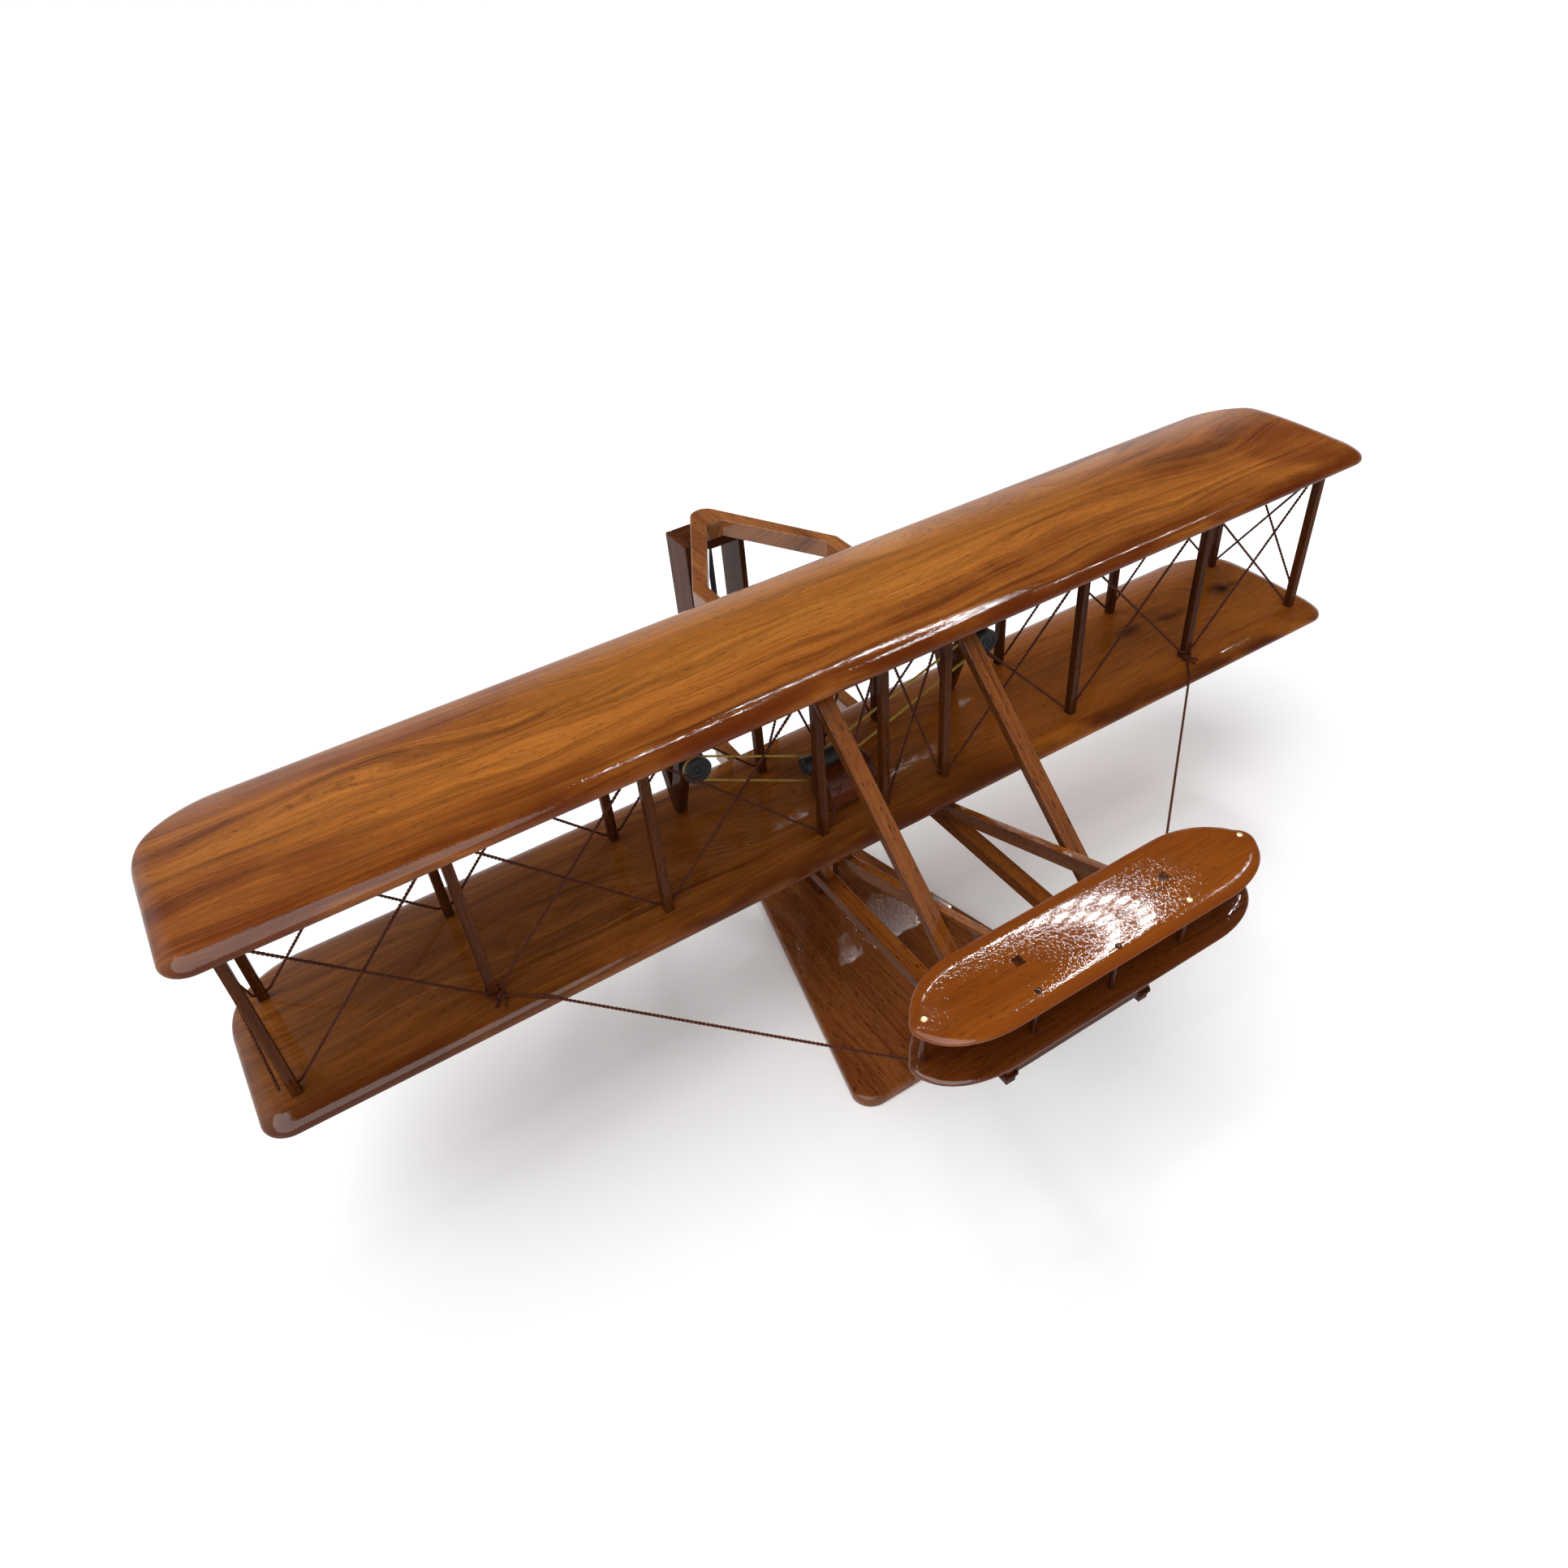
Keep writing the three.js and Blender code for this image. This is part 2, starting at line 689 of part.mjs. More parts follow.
function propeller(side) {
  const hub = turned(
    [
      [SHAFT_BORE, -HUB_LONG / 2],
      [HUB, -HUB_LONG / 2],
      [HUB, HUB_LONG / 2],
      [SHAFT_BORE, HUB_LONG / 2],
      [SHAFT_BORE, -HUB_LONG / 2],
    ],
    16,
  );
  const outline = new THREE.Shape();
  outline.moveTo(2.4, -1.6);
  outline.bezierCurveTo(12, -2, 20, -5.2, 34, -4.6);
  outline.quadraticCurveTo(PROP_RADIUS, -4, PROP_RADIUS, 0);
  outline.quadraticCurveTo(PROP_RADIUS, 3.4, 36, 3.4);
  outline.bezierCurveTo(24, 3.4, 12, 1.8, 2.4, 1.6);
  let solid = solidOf(hub);
  for (const turn of [0, Math.PI]) {
    const blade = raise(outline, -0.9, 0.9, 5)
      .rotateX(Math.PI / 2 + side * PROP_PITCH)
      .rotateY(turn);
    solid = solid.add(solidOf(blade));
  }
  return solid.translate([side * SHAFT_X, PROP_Y, SHAFT_Z]);
}

// A chain: flat band round the drum and the crank pulley.
function chain(side, y) {
  const from = new THREE.Vector2(side * SHAFT_X, SHAFT_Z);
  const to = new THREE.Vector2(CRANK_X, CRANK_Z);
  const loop = (grow) => {
    const way = to.clone().sub(from);
    const slip = Math.acos((DRUM_BELT - CRANK_BELT) / way.length());
    const heading = Math.atan2(way.y, way.x);
    const points = [];
    const round = (centre, radius, start, sweep, steps) => {
      for (let k = 0; k <= steps; k++) {
        const angle = start + (sweep * k) / steps;
        points.push([
          centre.x + radius * Math.cos(angle),
          centre.y + radius * Math.sin(angle),
        ]);
      }
    };
    const drumSweep = 2 * Math.PI - 2 * slip;
    round(from, DRUM_BELT + grow, heading + slip, drumSweep, 10);
    round(to, CRANK_BELT + grow, heading - slip, 2 * slip, 10);
    return points;
  };
  const band = shapeOf(loop(CHAIN_THICK / 2));
  const inside = loop(-CHAIN_THICK / 2).reverse();
  band.holes.push(new THREE.Path(inside.map(([u, v]) => new THREE.Vector2(u, v))));
  return new THREE.ExtrudeGeometry(band, { depth: CHAIN_WIDE, bevelEnabled: false })
    .rotateX(Math.PI / 2)
    .translate(0, y + CHAIN_WIDE, 0);
}

function drive() {
  for (const [side, name, chainY] of [
    [-1, "starboard", 0],
    [1, "port", 2.2],
  ]) {
    add(`${name}_shaft_bracket`, shaftBracket(side), WOOD.strut);
    add(`${name}_shaft_drum`, drum(side), BLACK);
    add(`${name}_propeller`, propeller(side), WOOD.propeller);
    add(`${name}_chain`, chain(side, chainY), CHAIN_YELLOW);
  }
  const pulley = turned(
    [
      [0, -2.8],
      [2, -2.8],
      [2, -1.4],
      [CRANK_FLANGE, -1.4],
      [CRANK_FLANGE, -0.5],
      [CRANK_GROOVE, -0.5],
      [CRANK_GROOVE, 4],
      [CRANK_FLANGE, 4],
      [CRANK_FLANGE, 4.9],
      [0, 4.9],
    ],
    20,
  );
  add("crank_pulley", pulley.translate(CRANK_X, 0, CRANK_Z), BLACK);
}

function engine() {
  const rear = -3;
  const front = -18;
  const foot = WING_TOP + 1.05;
  const head = WING_TOP + 17.6;
  const outline = new THREE.Shape();
  outline.moveTo(rear, foot);
  outline.lineTo(rear, head - 2);
  outline.quadraticCurveTo(rear, head, rear - 2, head);
  outline.lineTo(front + 7, head);
  outline.quadraticCurveTo(front, head, front, head - 7);
  outline.lineTo(front, foot + 3);
  outline.quadraticCurveTo(front, foot, front + 3, foot);
  add("engine_block", stretch(outline, -22, 1), WOOD.dark);
  const axisZ = head + 3.65;
  const profile = [
    [0, -27],
    [4, -27],
    [4, -25.4],
    [3.2, -25.4],
    [3.2, -24.4],
    [3.6, -24.4],
    [3.6, -3],
    [0, -3],
  ];
  const cylinder = turned(profile, 16)
    .rotateZ(-Math.PI / 2)
    .translate(0, -7, axisZ);
  add("engine_cylinder", cylinder, BLACK);
}

baseBoard();
stand();
wings();
struts();
laces();
stays();
outriggers();
elevator();
tailFrame("upper_tail_frame", UPPER_UNDERSIDE);
tailFrame("lower_tail_frame", LOWER_UNDERSIDE);
rudder();
engine();
drive();

export default model;
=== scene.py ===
"""Looks of the wooden biplane display model: varnished mahogany, twisted threads and flat yellow
chains."""

import json
import math

import bmesh
import bpy
import numpy as np
from mathutils import Matrix, Vector


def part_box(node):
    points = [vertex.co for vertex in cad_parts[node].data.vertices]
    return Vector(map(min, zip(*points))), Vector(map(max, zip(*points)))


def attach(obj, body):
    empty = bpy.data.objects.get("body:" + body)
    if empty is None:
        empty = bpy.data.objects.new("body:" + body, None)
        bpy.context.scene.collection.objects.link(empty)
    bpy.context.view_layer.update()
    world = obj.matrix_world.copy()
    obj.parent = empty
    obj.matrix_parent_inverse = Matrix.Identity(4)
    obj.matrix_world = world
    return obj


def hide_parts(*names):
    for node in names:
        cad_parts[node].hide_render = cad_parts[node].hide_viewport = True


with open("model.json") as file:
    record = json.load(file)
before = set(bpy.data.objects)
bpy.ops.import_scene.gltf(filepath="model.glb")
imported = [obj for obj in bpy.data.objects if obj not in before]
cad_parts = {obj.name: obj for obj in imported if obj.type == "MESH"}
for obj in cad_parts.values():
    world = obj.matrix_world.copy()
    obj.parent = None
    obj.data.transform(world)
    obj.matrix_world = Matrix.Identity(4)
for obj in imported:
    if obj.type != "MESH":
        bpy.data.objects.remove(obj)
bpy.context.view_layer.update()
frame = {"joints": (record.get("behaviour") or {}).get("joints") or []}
scene = bpy.context.scene
MM = 0.001

# ---- measures taken from the frame

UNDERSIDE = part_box("lower_wing")[0].z
UPPER_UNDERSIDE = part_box("upper_wing")[0].z
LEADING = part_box("upper_wing")[0].y
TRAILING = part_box("upper_wing")[1].y
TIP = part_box("upper_wing")[1].x
WING_TOP = UNDERSIDE + 5.4 * MM  # at the strut rows
ROW_Y = 24 * MM
STATIONS = [x * MM for x in (-240, -170, -100, -30, 0, 30, 100, 170, 240)]
SHAFT_X = 69.7 * MM
SHAFT_Z = frame["joints"][0]["pos_m"][2]
CRANK_X = frame["joints"][2]["pos_m"][0]
CRANK_Z = frame["joints"][2]["pos_m"][2]
PIVOT_Y = frame["joints"][3]["pos_m"][1]

# ---- camera

cam = bpy.data.objects.new("camera", bpy.data.cameras.new("camera"))
scene.collection.objects.link(cam)
scene.camera = cam
right = Vector((0.8449, -0.5302, -0.0715)).normalized()
ahead = Vector((0.3628, 0.6660, -0.6517)).normalized()
upward = right.cross(ahead).normalized()
turn = Matrix((right, upward, -ahead)).transposed()
cam.matrix_world = Matrix.Translation((-0.20081, -0.30858, WING_TOP + 0.31253)) @ turn.to_4x4()
cam.data.sensor_width = 36
cam.data.lens = 26.242
cam.data.clip_start = 0.01
cam.data.clip_end = 50

# ---- materials


class Nodes:
    """The node tree of a material or world, emptied, with short calls."""

    def __init__(self, owner):
        self.owner = owner
        owner.use_nodes = True
        self.tree = owner.node_tree
        self.tree.nodes.clear()

    def add(self, kind, inputs=None, **props):
        node = self.tree.nodes.new(kind)
        for key, value in props.items():
            setattr(node, key, value)
        for key, value in (inputs or {}).items():
            socket = node.inputs[key]
            if isinstance(value, bpy.types.NodeSocket):
                self.tree.links.new(value, socket)
            else:
                socket.default_value = value
        return node

    def math(self, operation, a, b=0.0, clamp=False):
        node = self.add("ShaderNodeMath", {0: a, 1: b}, operation=operation, use_clamp=clamp)
        return node.outputs[0]

    def vector(self, operation, a, b):
        return self.add("ShaderNodeVectorMath", {0: a, 1: b}, operation=operation).outputs[0]

    def noise(self, where, scale=1.0, detail=2.0, rough=0.5):
        inputs = {"Vector": where, "Scale": scale, "Detail": detail, "Roughness": rough}
        return self.add("ShaderNodeTexNoise", inputs).outputs[0]

    def ramp(self, fac, low, high):
        """A smooth step from 0 at low to 1 at high."""
        inputs = {"Value": fac, "From Min": low, "From Max": high}
        return self.add("ShaderNodeMapRange", inputs, interpolation_type="SMOOTHSTEP").outputs[0]

    def mix(self, fac, a, b):
        node = self.add("ShaderNodeMix", data_type="RGBA")
        for socket, value in ((node.inputs[0], fac), (node.inputs[6], a), (node.inputs[7], b)):
            if isinstance(value, bpy.types.NodeSocket):
                self.tree.links.new(value, socket)
            else:
                socket.default_value = value if isinstance(value, float) else (*value, 1.0)
        return node.outputs[2]

    def bump(self, height, strength, distance, under=None):
        inputs = {"Height": height, "Strength": strength, "Distance": distance}
        if under is not None:
            inputs["Normal"] = under
        return self.add("ShaderNodeBump", inputs).outputs[0]

    def finish(self, color, roughness, **sockets):
        inputs = {"Base Color": color, "Roughness": roughness}
        for key, value in sockets.items():
            inputs[key.replace("_", " ")] = value
        shader = self.add("ShaderNodeBsdfPrincipled", inputs)
        self.add("ShaderNodeOutputMaterial", {0: shader.outputs[0]})
        return self.owner


def material_nodes(name):
    return Nodes(bpy.data.materials.new(name))


def wood(
    name,
    light,
    mid,
    dark,
    bands=60,
    streaks=240,
    streak_share=0.5,
    pores=0.5,
    knots=(),
    gloss=1.0,
    peel=0.04,
    rim=None,
    warp=10,
    patches=(),
    lines=0.65,
):
    """Varnished wood in a light, a middle and a dark tone. The grain runs along x of the pieces'
    "grain" attribute, in metres. bands and streaks are roughly how many to a metre lie across it.
    A knot is (x, y, length, width, how far it pushes the growth rings aside, darkness) and a
    patch is (x, y, length, width, amount, tint), both in millimetres; a patch tints the wood or
    paints light or shade on it. warp is how far the rings wander, peel how uneven the varnish is,
    lines how strong the fine lines are, and rim the dark colour of the painted shade that the
    "rim" attribute puts on the rounded edges."""
    n = material_nodes(name)
    grain = n.add("ShaderNodeAttribute", attribute_name="grain").outputs["Vector"]
    place = n.add("ShaderNodeTexCoord").outputs["Object"]
    along, across, deep = n.add("ShaderNodeSeparateXYZ", {0: grain}).outputs[:3]

    def scaled(*scales):
        return n.vector("MULTIPLY", grain, scales)

    def layer(fac, share, below, above):
        return n.mix(n.math("MULTIPLY", fac, share), below, above)

    def reach(sideways, x, y, length, width):
        """Squared distance from a spot, 1 on the rim of its oval."""
        u = n.math("DIVIDE", n.math("SUBTRACT", along, x * MM), length * MM)
        v = n.math("DIVIDE", n.math("SUBTRACT", sideways, y * MM), width * MM)
        return n.math("ADD", n.math("MULTIPLY", u, u), n.math("MULTIPLY", v, v))

    # Growth rings, pushed aside by the knots.
    wander = n.noise(scaled(7, 26, 26), detail=2.5, rough=0.55)
    shift = n.math("MULTIPLY", n.math("SUBTRACT", wander, 0.5), warp * 2.4 * MM)
    knot_dark = None
    for *oval, push, shade in knots:
        bell = n.math("POWER", 2.718, n.math("MULTIPLY", reach(across, *oval), -1.0))
        shift = n.math("ADD", shift, n.math("MULTIPLY", bell, push * MM))
        if shade:
            spot = n.math("MULTIPLY", bell, shade)
            knot_dark = spot if knot_dark is None else n.math("MAXIMUM", knot_dark, spot)
    side = n.math("ADD", n.math("ADD", across, shift), n.math("MULTIPLY", deep, 0.6))

    def lined(x_scale, y_scale, detail=3.0, rough=0.6):
        spot = n.add(
            "ShaderNodeCombineXYZ",
            {0: n.math("MULTIPLY", along, x_scale), 1: n.math("MULTIPLY", side, y_scale)},
        )
        return n.noise(spot.outputs[0], detail=detail, rough=rough)

    # Bands, streaks, wide dark figure and local patches, which tint the wood or paint light and
    # shade on it.
    color = n.mix(n.ramp(lined(2.5, bands), 0.34, 0.66), light, mid)
    streak = n.ramp(lined(5, streaks, 4), 0.62 - 0.22 * streak_share, 0.72)
    color = layer(streak, 0.8, color, dark)
    wide = n.ramp(lined(1.6, bands * 0.45, 2), 0.53, 0.68)
    color = layer(wide, 0.85 * streak_share, color, dark)
    for *oval, amount, tint in patches:
        inside = n.ramp(reach(n.math("ADD", across, shift), *oval), 1.3, 0.5)
        color = layer(inside, amount, color, tint)
    if knot_dark is not None:
        rough_spot = n.noise(scaled(60, 110, 60), detail=4)
        spot = n.math("MULTIPLY", knot_dark, n.ramp(rough_spot, 0.3, 0.6), clamp=True)
        color = n.mix(spot, color, tuple(c * 0.7 for c in dark))

    # Fine lines, soft cross ribbons, fibres and open pores.
    fine = lined(13, streaks * 3.6, 4, 0.7)
    color = layer(n.ramp(fine, 0.46, 0.76), 0.8 * lines, color, dark)
    color = layer(n.ramp(fine, 0.5, 0.24), 0.7 * lines, color, tuple(c * 1.5 for c in light))
    ribbon = n.noise(scaled(34, 60, 60), detail=2)
    color = layer(n.ramp(ribbon, 0.4, 0.75), 0.3, color, light)
    fibre = n.ramp(lined(60, 1700, 3, 0.7), 0.25, 0.75)
    color = layer(fibre, 0.4, color, dark)
    axes = ((along, 280.0), (side, 1500.0), (deep, 1500.0))
    parts = {k: n.math("MULTIPLY", axis, scale) for k, (axis, scale) in enumerate(axes)}
    pore_where = n.add("ShaderNodeCombineXYZ", parts).outputs[0]
    pore = n.ramp(n.noise(pore_where, detail=2.0), 0.58, 0.7)
    color = layer(pore, pores, color, tuple(c * 0.3 for c in dark))

    # Painted shade on the rounded edges: where the "rim" attribute is high, the colour darkens
    # towards rim in uneven patches and the varnish is thinner.
    coat = gloss
    if rim:
        edge = n.add("ShaderNodeAttribute", attribute_name="rim").outputs["Fac"]
        coat = n.math("SUBTRACT", gloss, n.math("MULTIPLY", edge, 0.4))
        uneven = n.noise(scaled(24, 90, 90), detail=3)
        edge = n.math("MULTIPLY", edge, n.ramp(uneven, 0.2, 0.62))
        color = n.mix(edge, color, rim)
    wear = n.noise(place, 38.0, 4.0, 0.65)
    rough = n.math("ADD", n.math("MULTIPLY", pore, 0.15), n.math("MULTIPLY", wear, 0.3))

    # The varnish: soft waves, small waves, specks of dust and dips over the pores.
    skin = n.bump(n.noise(place, 240.0, 1.0), peel * 0.1, 0.0015)
    skin = n.bump(n.noise(place, 850.0, 1.0), peel * 0.08, 0.0006, skin)
    skin = n.bump(n.ramp(n.noise(place, 1000.0), 0.5, 0.64), peel * 0.9, 0.0002, skin)
    skin = n.bump(pore, 0.02, -0.0003, skin)
    under = n.bump(fibre, 0.05, 0.0002)
    return n.finish(
        color,
        n.math("ADD", rough, 0.22),
        Normal=under,
        Coat_Weight=coat,
        Coat_Roughness=0.035,
        Coat_IOR=1.5,
        Coat_Normal=skin,
        Specular_IOR_Level=0.0,
    )


def thread_material(name, light, dark):
    n = material_nodes(name)
    place = n.add("ShaderNodeTexCoord").outputs["Object"]
    fuzz = n.noise(place, 2600.0, 4.0, 0.7)
    patch = n.noise(place, 90.0, 2.0)
    color = n.mix(n.ramp(fuzz, 0.3, 0.7), dark, light)
    color = n.mix(n.math("MULTIPLY", n.ramp(patch, 0.4, 0.7), 0.35), color, dark)
    lumps = n.bump(fuzz, 0.5, 0.0002)
    rough = n.math("ADD", n.math("MULTIPLY", fuzz, 0.3), 0.5)
    return n.finish(color, rough, Normal=lumps, Specular_IOR_Level=0.12)


def chain_material():
    n = material_nodes("chain_cord")
    place = n.add("ShaderNodeTexCoord").outputs["Object"]
    weave = n.noise(place, 1900.0, 3.0, 0.6)
    soil = n.noise(place, 60.0, 3.0)
    color = n.mix(n.ramp(weave, 0.3, 0.7), (0.34, 0.21, 0.018), (0.62, 0.44, 0.05))
    color = n.mix(n.math("MULTIPLY", n.ramp(soil, 0.45, 0.7), 0.5), color, (0.2, 0.12, 0.02))
    return n.finish(color, n.math("ADD", weave, 0.1), Normal=n.bump(weave, 0.4, 0.0002))


def black_material():
    n = material_nodes("matte_black")
    place = n.add("ShaderNodeTexCoord").outputs["Object"]
    grit = n.noise(place, 1500.0, 4.0, 0.7)
    worn = n.ramp(n.noise(place, 160.0, 4.0, 0.7), 0.56, 0.74)
    color = n.mix(worn, (0.006, 0.0055, 0.005), (0.035, 0.031, 0.028))
    rough = n.math("ADD", n.math("MULTIPLY", grit, 0.25), 0.38)
    return n.finish(color, rough, Normal=n.bump(grit, 0.35, 0.0003), Specular_IOR_Level=0.45)


def brass_material():
    n = material_nodes("brass_pin")
    place = n.add("ShaderNodeTexCoord").outputs["Object"]
    scratch = n.noise(n.vector("MULTIPLY", place, (900, 4200, 900)), detail=3)
    tarnish = n.ramp(n.noise(place, 900.0, 3.0), 0.45, 0.75)
    color = n.mix(tarnish, (0.83, 0.66, 0.36), (0.5, 0.34, 0.13))
    rough = n.math("ADD", n.math("MULTIPLY", scratch, 0.2), 0.22)
    bumps = n.bump(scratch, 0.15, 0.0001)
    return n.finish(color, rough, Metallic=1.0, Normal=bumps)


PALE = (0.5, 0.2, 0.045)
RED = (0.15, 0.025, 0.003)
UPPER_PATCHES = [
    (10, 22, 150, 26, 0.45, (0.48, 0.18, 0.026)),
    (38, 33, 17, 9, 0.75, PALE),
    (150, 40, 24, 6, 0.6, PALE),
    (228, -8, 22, 24, 0.5, RED),
    (-228, -18, 34, 18, 0.35, RED),
]
UPPER_KNOTS = [
    (40, 58, 30, 13, 16, 0),
    (84, 36, 36, 8, -15, 0.2),
    (146, 47, 34, 15, 14, 0),
    (112, 20, 50, 9, 9, 0),
    (-53, 18.5, 1.3, 0.9, 1, 0.95),
    (-150, -22, 60, 12, 8, 0),
    (-190, 16, 46, 14, -8, 0),
    (205, 5, 30, 16, 9, 0),
]
# Painted light and shade on the lower wing: a lighter patch towards port and a darker one towards
# starboard.
LOWER_LIGHT_AND_SHADE = [
    (150, 0, 120, 60, 0.7, (0.5, 0.15, 0.018)),
    (-210, 0, 110, 60, 0.45, (0.12, 0.04, 0.008)),
]
LOWER_KNOTS = [
    (227, 5, 9, 6, 9, 1.1),
    (226, 6, 24, 14, 10, 0.25),
    (188, 3, 12, 3.2, 5, 0.8),
    (165, 4.5, 9, 4.5, 7, 1.0),
    (170, 2, 34, 11, -8, 0.3),
    (-30, -8, 50, 12, 9, 0),
    (-140, 6, 60, 14, -9, 0),
]
MATERIALS = {
    "upper": wood(
        "upper_wing_wood", (0.44, 0.145, 0.021), (0.215, 0.054, 0.006), (0.045, 0.009, 0.0012),
        bands=52, streaks=190, streak_share=0.8, knots=UPPER_KNOTS, pores=0.35,
        rim=(0.085, 0.015, 0.002), warp=12, patches=UPPER_PATCHES, lines=0.5,
    ),
    "lower": wood(
        "lower_wing_wood", (0.31, 0.1, 0.016), (0.175, 0.048, 0.006), (0.045, 0.01, 0.0015),
        bands=44, streaks=170, streak_share=0.3, knots=LOWER_KNOTS, patches=LOWER_LIGHT_AND_SHADE,
        pores=0.35, rim=(0.07, 0.016, 0.004),
    ),
    "elevator": wood(
        "elevator_wood", (0.255, 0.064, 0.005), (0.19, 0.044, 0.003), (0.07, 0.014, 0.0015),
        bands=60, streaks=210, streak_share=0.2, pores=0.3, peel=0.045, lines=0.3,
        rim=(0.16, 0.035, 0.005),
    ),
    "elevator_dark": wood(
        "elevator_dark_wood", (0.14, 0.034, 0.006), (0.085, 0.019, 0.003), (0.03, 0.007, 0.002),
        bands=60, streaks=210, streak_share=0.3, peel=0.06,
    ),
    "bar": wood(
        "boom_wood", (0.27, 0.08, 0.012), (0.15, 0.038, 0.006), (0.035, 0.008, 0.0015), bands=150,
        streaks=420, streak_share=0.45, pores=0.75, warp=2,
    ),
    # A darker copy of the boom wood: painted shade for the faces towards port and starboard.
    "bar_side": wood(
        "boom_side_wood", (0.13, 0.04, 0.01), (0.075, 0.021, 0.005), (0.02, 0.005, 0.0015),
        bands=150, streaks=420, streak_share=0.5, pores=0.8, gloss=0.3, warp=2,
    ),
    "engine": wood(
        "engine_wood", (0.14, 0.032, 0.012), (0.085, 0.019, 0.007), (0.03, 0.007, 0.003), bands=120,
        streaks=420, streak_share=0.4, gloss=0.5, warp=4,
    ),
    "frame": wood(
        "tail_frame_wood", (0.33, 0.12, 0.035), (0.2, 0.062, 0.015), (0.06, 0.015, 0.003), bands=90,
        streaks=300, streak_share=0.35, pores=0.6, warp=4,
    ),
    "strut": wood(
        "strut_wood", (0.105, 0.03, 0.008), (0.052, 0.013, 0.0035), (0.015, 0.0035, 0.0012),
        bands=160, streaks=500, streak_share=0.5, pores=0.6, gloss=0.15, warp=2,
    ),
    "dark": wood(
        "dark_wood", (0.095, 0.027, 0.008), (0.045, 0.012, 0.004), (0.012, 0.003, 0.0015),
        bands=120, streaks=420, streak_share=0.5, pores=0.7, gloss=0.3, warp=3,
    ),
    "base": wood(
        "base_wood", (0.24, 0.075, 0.018), (0.13, 0.034, 0.008), (0.045, 0.011, 0.003), bands=70,
        streaks=200, streak_share=0.35, pores=0.7, gloss=0.6, warp=6,
    ),
    "propeller": wood(
        "propeller_wood", (0.42, 0.17, 0.05), (0.28, 0.095, 0.024), (0.1, 0.027, 0.006), bands=110,
        streaks=330, streak_share=0.35, warp=3,
    ),
    "thread": thread_material("rigging_thread", (0.12, 0.03, 0.012), (0.022, 0.005, 0.003)),
    "chain": chain_material(),
    "black": black_material(),
    "brass": brass_material(),
}

# ---- making pieces


def unit(v):
    return np.asarray(v, float) / np.linalg.norm(v)


def quadratic(a, b, c, t):
    """The point at t of a curve that starts at a, bends towards b and ends at c."""
    return (1 - t) ** 2 * a + 2 * t * (1 - t) * b + t * t * c


def rounded(route, radius, steps=3, share=0.45):
    """Rounds the inner corners of a route of straight lines; share limits the cut of each line."""
    made = [np.array(route[0], float)]
    for before, here, after in zip(route, route[1:], route[2:]):
        a, b, c = (np.array(p, float) for p in (before, here, after))
        cut = min(radius, share * np.linalg.norm(a - b), share * np.linalg.norm(c - b))
        start, end = b + unit(a - b) * cut, b + unit(c - b) * cut
        made += [quadratic(start, b, end, k / steps) for k in range(steps + 1)]
    made.append(np.array(route[-1], float))
    return made


def finish_piece(mesh, name, node, body, looks, grain=(1, 0, 0), seed=0, rim=None):
    """Gives a mesh its grain coordinates and materials and lets it stand for its CAD node. seed
    moves the grain, so that pieces of one wood differ."""
    points = np.empty(len(mesh.vertices) * 3)
    mesh.vertices.foreach_get("co", points)
    points = points.reshape(-1, 3)
    first = unit(grain)
    guide = np.array((0, 0, 1.0)) if abs(first[2]) < 0.9 else np.array((0, 1.0, 0))
    second = unit(np.cross(guide, first))
    third = np.cross(first, second)
    local = points @ np.array([first, second, third]).T
    local = local + np.array((0.37, 0.231, 0.113)) * seed
    attribute = mesh.attributes.new("grain", "FLOAT_VECTOR", "POINT")
    attribute.data.foreach_set("vector", local.astype(np.float32).ravel())
    if rim is not None:
        shade = mesh.attributes.new("rim", "FLOAT", "POINT")
        shade.data.foreach_set("value", rim(points).astype(np.float32))
    for look in looks:
        mesh.materials.append(MATERIALS[look])
    mesh.polygons.foreach_set("use_smooth", [True] * len(mesh.polygons))
    mesh.update()
    piece = bpy.data.objects.new(name, mesh)
    scene.collection.objects.link(piece)
    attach(piece, body)
    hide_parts(node)
    return piece


def mesh_of(bm, name):
    mesh = bpy.data.meshes.new(name)
    bm.to_mesh(mesh)
    bm.free()
    return mesh


def sides_in_painted_shade(piece):
    """The faces towards port and starboard take the piece's second wood, a darker copy of the first
    that paints shade on them.
    """
    for face in piece.data.polygons:
        if abs(face.normal.x) > 0.7:
            face.material_index = 1


def solid(bm, name, node, body, slot, looks, grain=(1, 0, 0), seed=0, angle=50):
    """A finished piece with even shading on the flat faces between its rounded edges."""
    piece = finish_piece(mesh_of(bm, name), name, node, body, looks, grain, seed)
    piece.data.set_sharp_from_angle(angle=math.radians(angle))
    modifier = piece.modifiers.new("even_shading", "WEIGHTED_NORMAL")
    modifier.keep_sharp = True
    return piece


def bridge(bm, rings):
    """Faces between rings of points; a ring of one point is a pole."""
    for a, b in zip(rings, rings[1:]):
        count = max(len(a), len(b))
        for k in range(count):
            m = (k + 1) % count
            if len(a) == 1:
                bm.faces.new((a[0], b[k], b[m]))
            elif len(b) == 1:
                bm.faces.new((a[k], a[m], b[0]))
            else:
                bm.faces.new((a[k], a[m], b[m], b[k]))


